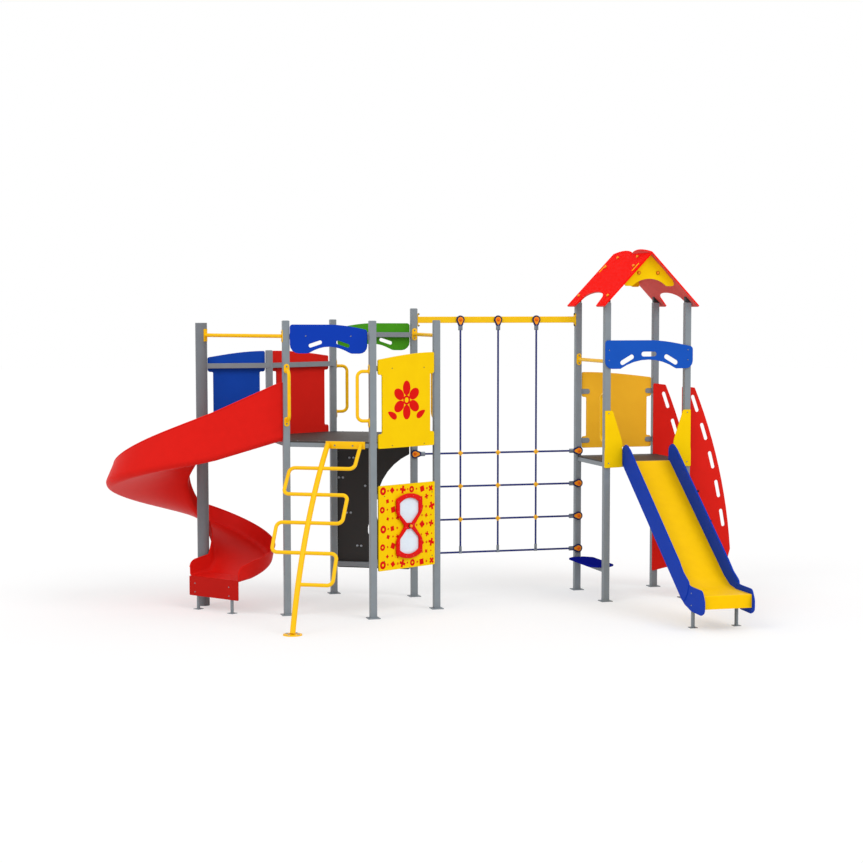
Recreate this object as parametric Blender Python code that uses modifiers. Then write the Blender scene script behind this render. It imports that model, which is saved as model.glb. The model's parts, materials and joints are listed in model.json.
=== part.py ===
# Multi-play structure for a playground: a hexagonal tower with a spiral slide, a serpentine
# ladder, a climbing wall and a play panel, a square tower with a gable roof, a straight slide
# and a step climber, and a rope net on a beam between the towers.
# Metres, +Z up. All places are given from the middle of the hexagonal tower on the ground,
# with +X towards the square tower. The empty play_structure carries them all.

from math import atan2, ceil, cos, pi, radians, sin, sqrt, tan

import bmesh
import bpy
from mathutils import Matrix, Vector

GAP = 0.0003                  # between pieces that touch
ARC_STEP = radians(24)        # one edge of a rounded corner
SHIFT = (-0.696, 0.618, 0.0)  # puts the origin under the middle of the whole structure

# Posts and steel
SIDE = 0.80                   # post to post, in both towers
POST = 0.060                  # square post
POST_EDGE = 0.004
POST_HEIGHT = 2.63
TALL_POST_HEIGHT = 2.735      # the post that carries the net beam
SHORT_POST_TOP = 2.35
BASE_PLATE = 0.110
PLATE_THICKNESS = 0.008
COLUMN_RADIUS = 0.054
COLUMN_HEIGHT = 2.607
COLUMN_PLACE = (-1.322, 0.391)
COLUMN_CLEARANCE = 0.005      # column to the edge of the blue panel
TOWER_GAP = 1.643             # post to post, across the net
BEAM = 0.040                  # deck beams, rail depth
RAIL_HEIGHT = 0.046
LUG_THICKNESS = 0.005
SEAT = 0.008                  # outer face of beams and rails, outside the line of posts

# Decks
HEX_BEAM_BOTTOM = 1.513
SQUARE_BEAM_BOTTOM = 1.261
DECK_THICKNESS = 0.0127

# Boards
BOARD = 0.013
ROOF_BOARD = 0.015
SLIDE_BOARD = 0.017
PANEL_EDGE = 0.050            # post line to the upright edge of a barrier panel
PANEL_BOTTOM = 1.505
PANEL_LOW = 2.290
PANEL_HIGH = 2.347
NOTCH = (1.634, 2.156, 0.050)  # bottom, top and depth of the openings at a panel's edges
RAIL_LEVEL = 2.213            # middle of the rail that carries the barrier panels
LOWER_RAIL_LEVEL = 1.620
HEADER_RAIL_LEVEL = 2.490
HEADER_EDGE = 0.043           # post line to the upright edge of a header panel
HEADER_ARCH = 0.053
HEADER_SLOT = (0.130, 0.034)
TOWER_HEADER_TOP = 2.443
TOWER_HEADER_HEIGHT = 0.265

# Play panel and spinner
PLAY_PANEL = (0.415, 1.175)   # bottom and top
SPINNER_ALONG = 0.413
SPINNER_LEVEL = 0.797
SPINNER_HEIGHT = 0.585
SPINNER_WIDTH = 0.322
SPINNER_WAIST = 0.116
SPINNER_SHOULDER = 0.122      # middle to where the sides turn in to the waist
SPINNER_CROWN = 0.047         # rise of the round top and bottom
SPINNER_FOOT = (0.033, 0.027) # half width and level of a pane's end next to the axle
SPINNER_BAND = 0.040
SPINNER_THICKNESS = 0.018
SPINNER_INSET = 0.012         # edge of the frame to the edge of the window
WINDOW_THICKNESS = 0.004
SPINNER_STANDOFF = 0.0043     # play panel to window
AXLE_RADIUS = 0.010
AXLE_CLEARANCE = 0.0005
KNOB_RADIUS = 0.013
KNOB_HEIGHT = 0.030
COLLAR_RADIUS = 0.020
COLLAR_HEIGHT = 0.008

# Tubes
BAR_RADIUS = 0.017
HANDLE_RADIUS = 0.015
HANDLE_BULGE = 0.107
HANDLE_HEIGHT = 0.435
HANDLE_BEND = 0.065
HANDLE_PLATE_HEIGHT = 0.085
HANDLE_PLATE_SHIFT = 0.018    # tube to the middle of its plate
HANDLE_LEVEL = 1.9725         # middle of the handles of the hexagonal tower
TOWER_HANDLE_LEVEL = 1.722
FLANGE_THICKNESS = 0.006
FLANGE_WIDTH = 0.050
FLANGE_HEIGHT = 0.113
GUARD_LEVEL = 2.495
TOWER_GUARD_LEVEL = 2.247

# Ladder, on the front left side of the hexagonal tower
POLE_RADIUS = 0.024
POLE_ALONG = 0.392
POLE_TOP = (0.020, 1.540)     # outward, up
POLE_FOOT = (1.020, 0.012)
POLE_BOW = 0.125              # middle of the pole, off its chord
LADDER_PLATE = (0.370, 0.734, 1.504, 1.570)
RUNG_RADIUS = 0.0165
RUNG_REACH = (0.110, 0.697)   # left and right bends, along the side
RUNG_BEND = 0.050
RUNG_COUNT = 5
FIRST_RUNG = 0.282            # along the pole, from its top
RUNG_PITCH = 0.285
POLE_BASE_RADIUS = 0.082

# Climbing wall
WALL_BOTTOM = 0.256
WALL_TOP = 1.550
WALL_RAIL_LEVEL = 0.293
WALL_EDGE = 0.034             # line of the back post to the upright edge of the wall
WALL_BITE = (0.330, 1.357, 0.330)  # bottom, top and depth of the round opening at its right
WALL_HOLE = (0.421, 0.628, 0.125, 0.080)  # along, level, height and width of the hand hole

# Net
NET_BEAM = 0.060
NET_BEAM_LEVEL = 2.630
BEAM_PLATE_HEIGHT = 0.118
ROPE_RADIUS = 0.008
ROPE_FRONT = 0.010            # post face to the middle of a rope
ROPE_LEVELS = (1.363, 1.047, 0.729, 0.412)
ROPE_PLACES = (1.140, 1.514, 1.897)
THIMBLE_RADIUS = 0.031
THIMBLE_TAIL = 0.075

# Roof
ROOF_PITCH = radians(46.4)
RIDGE_LEVEL = 3.265
ROOF_HALF_LENGTH = 0.507
ROOF_SLOPE = 0.695            # ridge to the foot, down the slope
ROOF_CREST = 0.036
FOOT_EDGE = 0.305             # middle to the inner corner of a foot
ROOF_ARCH = (0.270, 0.600, 0.090)  # half width, springing and rise of the cut between the feet
GABLE_PLACE = 0.438
GABLE_TAB = (0.150, 0.250)    # down the slope
TAB_PROUD = 0.003
GABLE_HEIGHT = 0.320
GABLE_ARCH = 0.058

# Straight slide
SLIDE_OUTER = 0.2405          # middle of the slide to the outer face of a side
SLIDE_PLACE = -0.007          # middle of the tower to the middle of the slide
SLIDE_CHEEK = 0.006           # how far the sloping part of a side stands outside its end part
BED_THICKNESS = 0.003
SLIDE_TOP = 1.314
SLIDE_REACH = 2.318           # middle of the tower to the lip
LIP_LEVEL = 0.312
LIP_BOTTOM = 0.196
SLIDE_LEG_RADIUS = 0.0165
SLIDE_LEG_BACK = 0.271         # lip to the legs
SLIDE_LEG_APART = 0.4060
LEG_PLATE = 0.066
LEG_PLATE_THICKNESS = 0.005

# Step climber
CLIMBER_TOP = 2.008
CLIMBER_BOTTOM = 0.160
CLIMBER_SHOULDER = (0.097, 1.993)  # all from the middle line of the right posts
CLIMBER_KNEE = (0.476, 0.450)
CLIMBER_BOW = 0.066
GRIP_FIRST = (0.100, 1.843)
GRIP_LAST = (0.389, 0.751)
GRIP_BOW = 0.030
GRIP_COUNT = 5
GRIP_SIZE = (0.170, 0.036)
STEP_FIRST = (0.109, 1.020)
STEP_PITCH = (0.1335, -0.2875)
STEP_COUNT = 3
STEP_DEPTH = 0.110
STEP_THICKNESS = 0.020

# Bench
BENCH_TOP = 0.330
BENCH_THICKNESS = 0.018
BENCH_WIDTH = 0.250
BENCH_LENGTH = 0.700
BENCH_CORNER = 0.070

# Spiral slide. Each row is one section of the chute: how far it has turned round the column in
# degrees, the height of the bed, then radius and height: outer crease, outer rim, inner crease, inner rim.
CHUTE_SKIN = 0.008
CHUTE_STEP = 9
CREASE = 0.050
MOUTH_RUN = 0.030             # level stretch at both ends of the chute
CHUTE_SECTIONS = (
    # turn, bed, crease, rim, rim height, inner crease, inner rim, inner height
    (0, 1.405, 0.800, 0.790, 1.835, 0.095, 0.090, 1.620),
    (45, 1.285, 0.850, 0.785, 1.595, 0.105, 0.100, 1.440),
    (90, 1.118, 0.900, 0.800, 1.345, 0.140, 0.130, 1.260),
    (140, 0.915, 0.800, 0.760, 1.090, 0.130, 0.120, 1.050),
    (190, 0.735, 0.650, 0.700, 0.875, 0.115, 0.105, 0.890),
    (235, 0.550, 0.610, 0.655, 0.700, 0.105, 0.095, 0.740),
    (275, 0.425, 0.620, 0.652, 0.575, 0.095, 0.085, 0.630),
    (324, 0.306, 0.630, 0.652, 0.470, 0.080, 0.072, 0.480),
)
CHUTE_ENTRY = (1.562, 0.790, 0.790, 2.080, 0.090, 0.085, 1.880)
CHUTE_EXIT = (0.296, 0.640, 0.646, 0.428, 0.048, 0.042, 0.438)
EXIT_CREASE = 0.022
EXIT_DROP = 0.022             # the rims round off over the last stretch
EXIT_LEG_AHEAD = 0.193        # column to the line of the two legs
EXIT_LEGS = (0.1245, 0.5515)
EXIT_LEG_RADIUS = 0.015
EXIT_PANEL = (0.034, 0.651, 0.125, 0.304)
EXIT_PANEL_THICKNESS = 0.010

# Places that follow from the driving dimensions
HALF_ROOT = sqrt(3) / 2
HEX_BEAM_TOP = HEX_BEAM_BOTTOM + BEAM
HEX_DECK_TOP = HEX_BEAM_TOP + GAP + DECK_THICKNESS
SQUARE_BEAM_TOP = SQUARE_BEAM_BOTTOM + BEAM
SQUARE_DECK_TOP = SQUARE_BEAM_TOP + GAP + DECK_THICKNESS
PANEL_BACK = SEAT + GAP
CORNERS = {
    "front": Vector((0, -SIDE, 0)),
    "front_right": Vector((SIDE * HALF_ROOT, -SIDE / 2, 0)),
    "right": Vector((SIDE * HALF_ROOT, SIDE / 2, 0)),
    "back": Vector((0, SIDE, 0)),
    "left": Vector((-SIDE * HALF_ROOT, SIDE / 2, 0)),
    "front_left": Vector((-SIDE * HALF_ROOT, -SIDE / 2, 0)),
    "column": Vector((*COLUMN_PLACE, 0)),
}
HEX_ORDER = ("front", "front_right", "right", "back", "left", "front_left")
TOWER_LEFT = SIDE * HALF_ROOT + TOWER_GAP
TOWER_MIDDLE = TOWER_LEFT + SIDE / 2
TOWER_RIGHT = TOWER_LEFT + SIDE
SLIDE_MIDDLE = TOWER_MIDDLE + SLIDE_PLACE
for name, across, deep in (
    ("tower_front_left", 0, -1),
    ("tower_front_right", 1, -1),
    ("tower_back_right", 1, 1),
    ("tower_back_left", 0, 1),
):
    CORNERS[name] = Vector((TOWER_LEFT + across * SIDE, deep * SIDE / 2, 0))
TOWER_ORDER = ("tower_front_left", "tower_front_right", "tower_back_right", "tower_back_left")


# Scene and colours

for old in list(bpy.data.objects):
    bpy.data.objects.remove(old)
parts = bpy.data.collections.new("multi_play_structure")
cutters = bpy.data.collections.new("cutters")
bpy.context.scene.collection.children.link(parts)
bpy.context.scene.collection.children.link(cutters)
structure = bpy.data.objects.new("play_structure", None)
structure.location = SHIFT
parts.objects.link(structure)


def paint(name, red, green, blue, roughness, metallic=0.0):
    colour = bpy.data.materials.new(name)
    colour.use_nodes = True
    shader = colour.node_tree.nodes["Principled BSDF"]
    linear = [((value / 255 + 0.055) / 1.055) ** 2.4 for value in (red, green, blue)]
    shader.inputs["Base Color"].default_value = (*linear, 1)
    shader.inputs["Roughness"].default_value = roughness
    shader.inputs["Metallic"].default_value = metallic
    colour.diffuse_color = (*linear, 1)
    return colour


GREY_STEEL = paint("grey powder coated steel", 122, 130, 136, 0.45, 0.2)
YELLOW_STEEL = paint("yellow powder coated steel", 254, 190, 10, 0.35)
YELLOW = paint("yellow board", 254, 205, 25, 0.4)
AMBER = paint("amber board", 250, 175, 40, 0.4)
BLUE = paint("blue board", 30, 70, 175, 0.4)
NAVY = paint("navy board", 25, 35, 120, 0.4)
RED = paint("red board", 222, 30, 25, 0.4)
GREEN = paint("green board", 85, 155, 45, 0.4)
CHARCOAL = paint("charcoal board", 47, 42, 38, 0.6)
RED_PLASTIC = paint("red plastic", 215, 30, 25, 0.3)
CLEAR = paint("clear window", 215, 222, 240, 0.1)
ORANGE = paint("orange plastic", 250, 140, 20, 0.35)
ROPE_BLUE = paint("blue rope", 40, 60, 150, 0.8)


# Building blocks

def place(name, data, matrix, colour=None):
    item = bpy.data.objects.new(name, data)
    item.parent = structure
    item.matrix_local = matrix
    parts.objects.link(item)
    if colour:
        data.materials.append(colour)
    return item


def helper(item):
    parts.objects.unlink(item)
    cutters.objects.link(item)
    item.hide_render = True
    item.display_type = "WIRE"
    return item


def at(x=0.0, y=0.0, z=0.0, turn=0.0):
    return Matrix.Translation((x, y, z)) @ Matrix.Rotation(turn, 4, "Z")


def side_matrix(start, end, outward=0.0, up=0.0):
    # X runs from one post to the next, Y up and Z out of the tower
    along = (end - start).normalized()
    out = Vector((along.y, -along.x, 0))
    matrix = Matrix((along, (0, 0, 1), out)).transposed().to_4x4()
    matrix.translation = start + out * outward + Vector((0, 0, up))
    return matrix


def box(name, size, matrix, colour=None, edge=0.0):
    form = bmesh.new()
    bmesh.ops.create_cube(form, size=1, matrix=Matrix.Diagonal((*size, 1)))
    if edge:
        upright = [e for e in form.edges if abs(e.verts[0].co.z - e.verts[1].co.z) > size[2] / 2]
        bmesh.ops.bevel(form, geom=upright, offset=edge, segments=2, profile=0.5, affect="EDGES")
    mesh = bpy.data.meshes.new(name)
    form.to_mesh(mesh)
    form.free()
    return place(name, mesh, matrix, colour)


def cylinder(name, radius, height, matrix, colour=None, sides=24):
    form = bmesh.new()
    bmesh.ops.create_cone(
        form, cap_ends=True, segments=sides, radius1=radius, radius2=radius, depth=height
    )
    mesh = bpy.data.meshes.new(name)
    form.to_mesh(mesh)
    form.free()
    return place(name, mesh, matrix @ at(z=height / 2), colour)


def rounded(corners, closed=True):
    # Each corner is a point and, after it, the radius that rounds it
    line = []
    count = len(corners)
    for index, (point, radius) in enumerate(corners):
        here = Vector(point)
        if not radius or not closed and index in (0, count - 1):
            line.append(here)
            continue
        back = Vector(corners[index - 1][0]) - here
        ahead = Vector(corners[(index + 1) % count][0]) - here
        half = back.angle(ahead) / 2
        reach = min(radius / tan(half), 0.495 * back.length, 0.495 * ahead.length)
        bend = reach * tan(half)
        centre = here + (back.normalized() + ahead.normalized()).normalized() * bend / sin(half)
        start = here + back.normalized() * reach - centre
        end = here + ahead.normalized() * reach - centre
        across = (end - start * (end.dot(start) / start.length_squared)).normalized() * bend
        sweep = pi - 2 * half
        steps = ceil(sweep / ARC_STEP)
        line += [
            centre + start * cos(sweep * step / steps) + across * sin(sweep * step / steps)
            for step in range(steps + 1)
        ]
    return line


def outline(*corners):
    return rounded([(corner[:2] + (0,), corner[2] if len(corner) > 2 else 0) for corner in corners])


def bow(start, end, rise, steps=8):
    # Points between two ends on an arc that rises to the left of the line from one to the other
    start, end = Vector(start), Vector(end)
    chord = end - start
    left = Vector((-chord.y, chord.x)).normalized()
    half = chord.length / 2
    radius = (half * half + rise * rise) / (2 * rise)
    centre = (start + end) / 2 + left * (rise - radius)
    first = atan2(start.y - centre.y, start.x - centre.x)
    last = atan2(end.y - centre.y, end.x - centre.x)
    sweep = (last - first + pi) % (2 * pi) - pi
    return [
        (centre.x + abs(radius) * cos(first + sweep * step / steps),
         centre.y + abs(radius) * sin(first + sweep * step / steps))
        for step in range(1, steps)
    ]


def crest(low, high, steps=8):
    # Half an arch, level at its high end
    return [
        (low[0] + (high[0] - low[0]) * step / steps,
         low[1] + (high[1] - low[1]) * sin(pi / 2 * step / steps))
        for step in range(1, steps)
    ]


def slot(x, y, length, width, tilt=0.0):
    run, rise = cos(tilt) * length / 2, sin(tilt) * length / 2
    across, down = -sin(tilt) * width / 2, cos(tilt) * width / 2
    return outline(
        (x + run + across, y + rise + down, width / 2),
        (x - run + across, y - rise + down, width / 2),
        (x - run - across, y - rise - down, width / 2),
        (x + run - across, y + rise - down, width / 2),
    )


def bore(x, y, radius, sides=16):
    return [
        Vector((x + radius * cos(2 * pi * i / sides), y + radius * sin(2 * pi * i / sides), 0))
        for i in range(sides)
    ]


def as_mesh(item):
    # The finished form of an object, as one welded mesh
    bpy.context.view_layer.update()
    graph = bpy.context.evaluated_depsgraph_get()
    mesh = bpy.data.meshes.new_from_object(item.evaluated_get(graph))
    form = bmesh.new()
    form.from_mesh(mesh)
    bmesh.ops.remove_doubles(form, verts=form.verts, dist=1e-6)
    bmesh.ops.recalc_face_normals(form, faces=form.faces)
    form.to_mesh(mesh)
    form.free()
    name, matrix = item.name, item.matrix_local.copy()
    bpy.data.objects.remove(item)
    return place(name, mesh, matrix)


def board(name, edge, thickness, matrix, colour=None, holes=()):
    # A flat piece whose back is on the XY plane of the matrix
    curve = bpy.data.curves.new(name, "CURVE")
    curve.dimensions = "2D"
    curve.fill_mode = "BOTH"
    curve.extrude = thickness / 2
    for loop in (edge, *holes):
        spline = curve.splines.new("POLY")
        spline.points.add(len(loop) - 1)
        for point, place_of in zip(spline.points, loop):
            point.co = (place_of[0], place_of[1], 0, 1)
        spline.use_cyclic_u = True
    return as_mesh(place(name, curve, matrix @ at(z=thickness / 2), colour))


def tube(name, line, radius, matrix, colour=None, sides=10):
    curve = bpy.data.curves.new(name, "CURVE")
    curve.dimensions = "3D"
    curve.bevel_depth = radius
    curve.bevel_resolution = (sides - 4) // 2
    curve.use_fill_caps = True
    spline = curve.splines.new("POLY")
    spline.points.add(len(line) - 1)
    for point, place_of in zip(spline.points, line):
        point.co = (*place_of, 1)
    item = as_mesh(place(name, curve, matrix, colour))
    item.data.shade_smooth()
    item.data.set_sharp_from_angle(angle=radians(50))
    return item


def combine(item, others, operation):
    for other in others:
        step = item.modifiers.new(other.name, "BOOLEAN")
        step.operation = operation
        step.object = helper(other)
        step.solver = "EXACT"
    result = as_mesh(item)
    for other in others:
        bpy.data.objects.remove(other)
    return result


def weld(item, others):
    return combine(item, others, "UNION")


def cut(item, others):
    return combine(item, others, "DIFFERENCE")


# Posts

def post(name, corner, height, lugs=()):
    size = (POST, POST, height - PLATE_THICKNESS / 2)
    shaft = box(name, size, at(corner.x, corner.y, (height + PLATE_THICKNESS / 2) / 2),
                GREY_STEEL, POST_EDGE)
    foot = box("foot", (BASE_PLATE, BASE_PLATE, PLATE_THICKNESS),
               at(corner.x, corner.y, PLATE_THICKNESS / 2))
    return weld(shaft, [foot, *lugs])


def post_cutter(corner):
    clear = POST + 2 * GAP
    return box("post clearance", (clear, clear, 4), at(corner.x, corner.y, 1.9))


def column_cutter():
    x, y = COLUMN_PLACE
    return cylinder("column clearance", COLUMN_RADIUS + GAP, 4, at(x, y, -0.1))


def play_panel_lugs(left_end):
    low, high = (0.02, 0.145) if left_end else (SIDE - 0.145, SIDE - 0.02)
    levels = (PLAY_PANEL[0] + 0.085, PLAY_PANEL[1] - 0.095)
    plates = []
    for level in levels:
        edge = outline((low, level - 0.022), (high, level - 0.022),
                       (high, level + 0.022), (low, level + 0.022))
        matrix = side_matrix(CORNERS["front"], CORNERS["front_right"], SEAT - LUG_THICKNESS)
        plates.append(board("lug", edge, LUG_THICKNESS, matrix))
    return plates


def back_panel_lugs(near):
    start, end = CORNERS["tower_back_left"], CORNERS["tower_back_right"]
    outward = BOARD / 2 + GAP
    plates = []
    for level in (1.935, 1.460):
        if near:
            edge = outline((0.02, level - 0.024), (0.120, level - 0.024, 0.02),
                           (0.120, level + 0.024, 0.02), (0.02, level + 0.024))
        else:
            edge = outline((SIDE - 0.02, level + 0.024), (SIDE - 0.103, level + 0.024, 0.02),
                           (SIDE - 0.103, level - 0.024, 0.02), (SIDE - 0.02, level - 0.024))
        plates.append(board("lug", edge, LUG_THICKNESS, side_matrix(start, end, outward)))
    return plates


def build_posts():
    post("post_front_left", CORNERS["front_left"], POST_HEIGHT)
    post("post_front", CORNERS["front"], POST_HEIGHT, play_panel_lugs(True))
    post("post_front_right", CORNERS["front_right"], POST_HEIGHT, play_panel_lugs(False))
    post("post_right_tall", CORNERS["right"], TALL_POST_HEIGHT)
    post("post_back", CORNERS["back"], POST_HEIGHT)
    top = roof_underside(SIDE / 2 + POST / 2) - GAP
    post("tower_post_front_left", CORNERS["tower_front_left"], top)
    post("tower_post_front_right", CORNERS["tower_front_right"], top)
    post("tower_post_back_left", CORNERS["tower_back_left"], top, back_panel_lugs(True))
    post("tower_post_back_right", CORNERS["tower_back_right"], top, back_panel_lugs(False))
    x, y = COLUMN_PLACE
    column = cylinder("slide_column", COLUMN_RADIUS, COLUMN_HEIGHT, at(x, y), GREY_STEEL)
    column.data.shade_smooth()
    column.data.set_sharp_from_angle(angle=radians(50))


# Rails and decks

def rail(name, start, end, level, cutting, height=RAIL_HEIGHT, colour=GREY_STEEL):
    length = (end - start).length
    matrix = side_matrix(start, end, SEAT - BEAM / 2, level) @ at(x=length / 2)
    bar = box(name, (length, height, BEAM), matrix, colour)
    return cut(bar, cutting)


def build_rails():
    for name, first, last, level in (
        ("header_rail_front", "front_left", "front", HEADER_RAIL_LEVEL),
        ("header_rail_back", "right", "back", HEADER_RAIL_LEVEL),
        ("upper_panel_rail", "front", "front_right", RAIL_LEVEL),
        ("climbing_wall_rail", "right", "back", WALL_RAIL_LEVEL),
    ):
        start, end = CORNERS[first], CORNERS[last]
        rail(name, start, end, level, [post_cutter(start), post_cutter(end)])


def build_barrier_frame():
    corner, back, column = CORNERS["left"], CORNERS["back"], CORNERS["column"]
    bottom = HEX_DECK_TOP + GAP
    height = SHORT_POST_TOP - bottom
    shaft = box("barrier_frame", (POST, POST, height), at(corner.x, corner.y, bottom + height / 2),
                GREY_STEEL, POST_EDGE)
    rails = [
        rail("back rail", back, corner, RAIL_LEVEL, [post_cutter(back)]),
        rail("column rail", corner, column, RAIL_LEVEL, [column_cutter()]),
        rail("lower column rail", corner, column, LOWER_RAIL_LEVEL, [column_cutter()]),
    ]
    weld(shaft, rails)


def deck_frame(name, corners, cross, bottom, cutting):
    beams = []
    for start, end in zip(corners, corners[1:] + corners[:1]):
        length = (end - start).length
        matrix = side_matrix(start, end, SEAT - BEAM / 2, bottom + BEAM / 2) @ at(x=length / 2)
        beams.append(box(name, (length, BEAM, BEAM), matrix, GREY_STEEL))
    for start, end in cross:
        middle = (start + end) / 2
        length = (end - start).length
        turn = atan2(end.y - start.y, end.x - start.x)
        beams.append(box("cross beam", (length, BEAM, BEAM),
                         at(middle.x, middle.y, bottom + BEAM / 2, turn)))
    return cut(weld(beams[0], beams[1:]), cutting)


def deck_outline(corners, seats):
    # Corners of a deck whose edge lies a given distance outside each line of posts
    lines = []
    for start, end, seat in zip(corners, corners[1:] + corners[:1], seats):
        along = (end - start).normalized()
        lines.append((start + Vector((along.y, -along.x, 0)) * seat, along))
    points = []
    for (first, way), (second, turn) in zip(lines[-1:] + lines[:-1], lines):
        reach = (second - first).cross(turn).z / way.cross(turn).z
        points.append(first + way * reach)
    return points


def build_decks():
    hexagon = [CORNERS[name] for name in HEX_ORDER]
    middles = [(a + b) / 2 for a, b in zip(hexagon, hexagon[1:] + hexagon[:1])]
    posts = [corner for name, corner in zip(HEX_ORDER, hexagon) if name != "left"]
    deck_frame("hexagon_deck_frame", hexagon, list(zip(middles[:3], middles[3:])),
               HEX_BEAM_BOTTOM, [post_cutter(corner) for corner in posts])
    # The side between the left and the front left post reaches out to meet the chute
    seats = [SEAT] * len(hexagon)
    seats[HEX_ORDER.index("left")] = POST / 2 + GAP
    plate = board("hexagon_deck_plate", deck_outline(hexagon, seats), DECK_THICKNESS,
                  at(z=HEX_BEAM_TOP + GAP), CHARCOAL)
    cut(plate, [post_cutter(corner) for corner in posts])

    square = [CORNERS[name] for name in TOWER_ORDER]
    middles = [(a + b) / 2 for a, b in zip(square, square[1:] + square[:1])]
    deck_frame("square_deck_frame", square, list(zip(middles[:2], middles[2:])),
               SQUARE_BEAM_BOTTOM, [post_cutter(corner) for corner in square])
    plate = board("square_deck_plate", deck_outline(square, [SEAT] * 4), DECK_THICKNESS,
                  at(z=SQUARE_BEAM_TOP + GAP), CHARCOAL)
    cut(plate, [post_cutter(corner) for corner in square])


# Barrier, header and play panels

def barrier_outline(low_edge, high_edge, bottom, low_top, high_top, notch):
    # Runs from the low side to the high side. The side openings lie between the two horns
    low, high, depth = notch
    way = 1 if high_edge > low_edge else -1
    inner_low, inner_high = low_edge + way * depth, high_edge - way * depth
    horn, inside = 0.022, 0.012
    corners = [
        (low_edge, bottom, 0.015), (high_edge, bottom, 0.015),
        (high_edge, low, horn), (inner_high, low, inside),
        (inner_high, high, inside), (high_edge, high, horn),
        (high_edge, high_top, 0.015),
        *crest((low_edge, low_top), (high_edge, high_top))[::-1],
        (low_edge, low_top, 0.015), (low_edge, high, horn),
        (inner_low, high, inside), (inner_low, low, inside), (low_edge, low, horn),
    ]
    return outline(*corners)


def build_barrier_panels():
    front, right = CORNERS["front"], CORNERS["front_right"]
    back, left, column = CORNERS["back"], CORNERS["left"], CORNERS["column"]
    far = SIDE - PANEL_EDGE
    board("upper_panel_yellow",
          barrier_outline(PANEL_EDGE, far, PANEL_BOTTOM, PANEL_LOW, PANEL_HIGH, NOTCH),
          BOARD, side_matrix(front, right, PANEL_BACK), YELLOW)
    board("side_panel_red",
          barrier_outline(PANEL_EDGE, far, PANEL_BOTTOM, PANEL_LOW, PANEL_HIGH, NOTCH),
          BOARD, side_matrix(back, left, PANEL_BACK), RED)
    reach = (column - left).length - COLUMN_RADIUS - COLUMN_CLEARANCE
    board("side_panel_blue",
          barrier_outline(reach, 0.036, PANEL_BOTTOM, PANEL_LOW, PANEL_HIGH, NOTCH),
          BOARD, side_matrix(left, column, PANEL_BACK), BLUE)


def build_header_panels():
    near, far, level = HEADER_EDGE + 0.002, SIDE - HEADER_EDGE, HEADER_RAIL_LEVEL
    low, high = level - 0.147, level + 0.108
    edge = outline(
        (near, high, 0.025), (near, low, 0.080), (near + 0.165, low, 0.060),
        *bow((near + 0.185, low + 0.007), (far - 0.167, low + 0.007), HEADER_ARCH),
        (far - 0.147, low, 0.060), (far, low, 0.070), (far, high - 0.046, 0.025),
        *crest((far, high - 0.046), (SIDE / 2, high)), (SIDE / 2, high),
    )
    slots = [slot(SIDE / 2 + side * 0.1275 + 0.0075, level - 0.063, *HEADER_SLOT, -side * radians(18))
             for side in (-1, 1)]
    for name, first, last, colour in (
        ("header_panel_blue", "front_left", "front", BLUE),
        ("header_panel_green", "right", "back", GREEN),
    ):
        board(name, edge, BOARD, side_matrix(CORNERS[first], CORNERS[last], PANEL_BACK),
              colour, slots)


def build_play_panel():
    matrix = side_matrix(CORNERS["front"], CORNERS["front_right"], PANEL_BACK)
    low, high = PLAY_PANEL
    edge = outline((PANEL_EDGE, low, 0.012), (SIDE - 0.043, low, 0.012),
                   (SIDE - 0.043, high, 0.012), (PANEL_EDGE, high, 0.012))
    hole = bore(SPINNER_ALONG, SPINNER_LEVEL, AXLE_RADIUS + AXLE_CLEARANCE)
    board("play_panel", edge, BOARD, matrix, YELLOW, [hole])


def hourglass(inset=0.0):
    # One outline that narrows to a waist, with a crowned top and bottom
    half, tall = SPINNER_WIDTH / 2 - inset, SPINNER_HEIGHT / 2 - inset
    slim, corner = SPINNER_WAIST / 2 - inset, tall - SPINNER_CROWN
    lobe = [
        (slim, 0, 0.020), (half, SPINNER_SHOULDER, 0.055), (half, corner, 0.022),
        *bow((half, corner), (-half, corner), -SPINNER_CROWN, 8),
        (-half, corner, 0.022), (-half, SPINNER_SHOULDER, 0.055),
    ]
    turned = [(-point[0], -point[1], *point[2:]) for point in lobe]
    return outline(*lobe, *turned)


def pane(side):
    # One opening of the frame, narrow next to the axle and crowned at its far end
    half = SPINNER_WIDTH / 2 - SPINNER_BAND
    corner = SPINNER_HEIGHT / 2 - SPINNER_BAND - SPINNER_CROWN * 0.9
    foot, level = SPINNER_FOOT
    shoulder = SPINNER_SHOULDER * 0.92
    shape = [
        (foot, level, 0.010), (half, shoulder, 0.035), (half, corner, 0.014),
        *bow((half, corner), (-half, corner), -SPINNER_CROWN * 0.9, 6),
        (-half, corner, 0.014), (-half, shoulder, 0.035), (-foot, level, 0.010),
    ]
    return outline(*[(side * point[0], side * point[1], *point[2:]) for point in shape])


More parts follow.
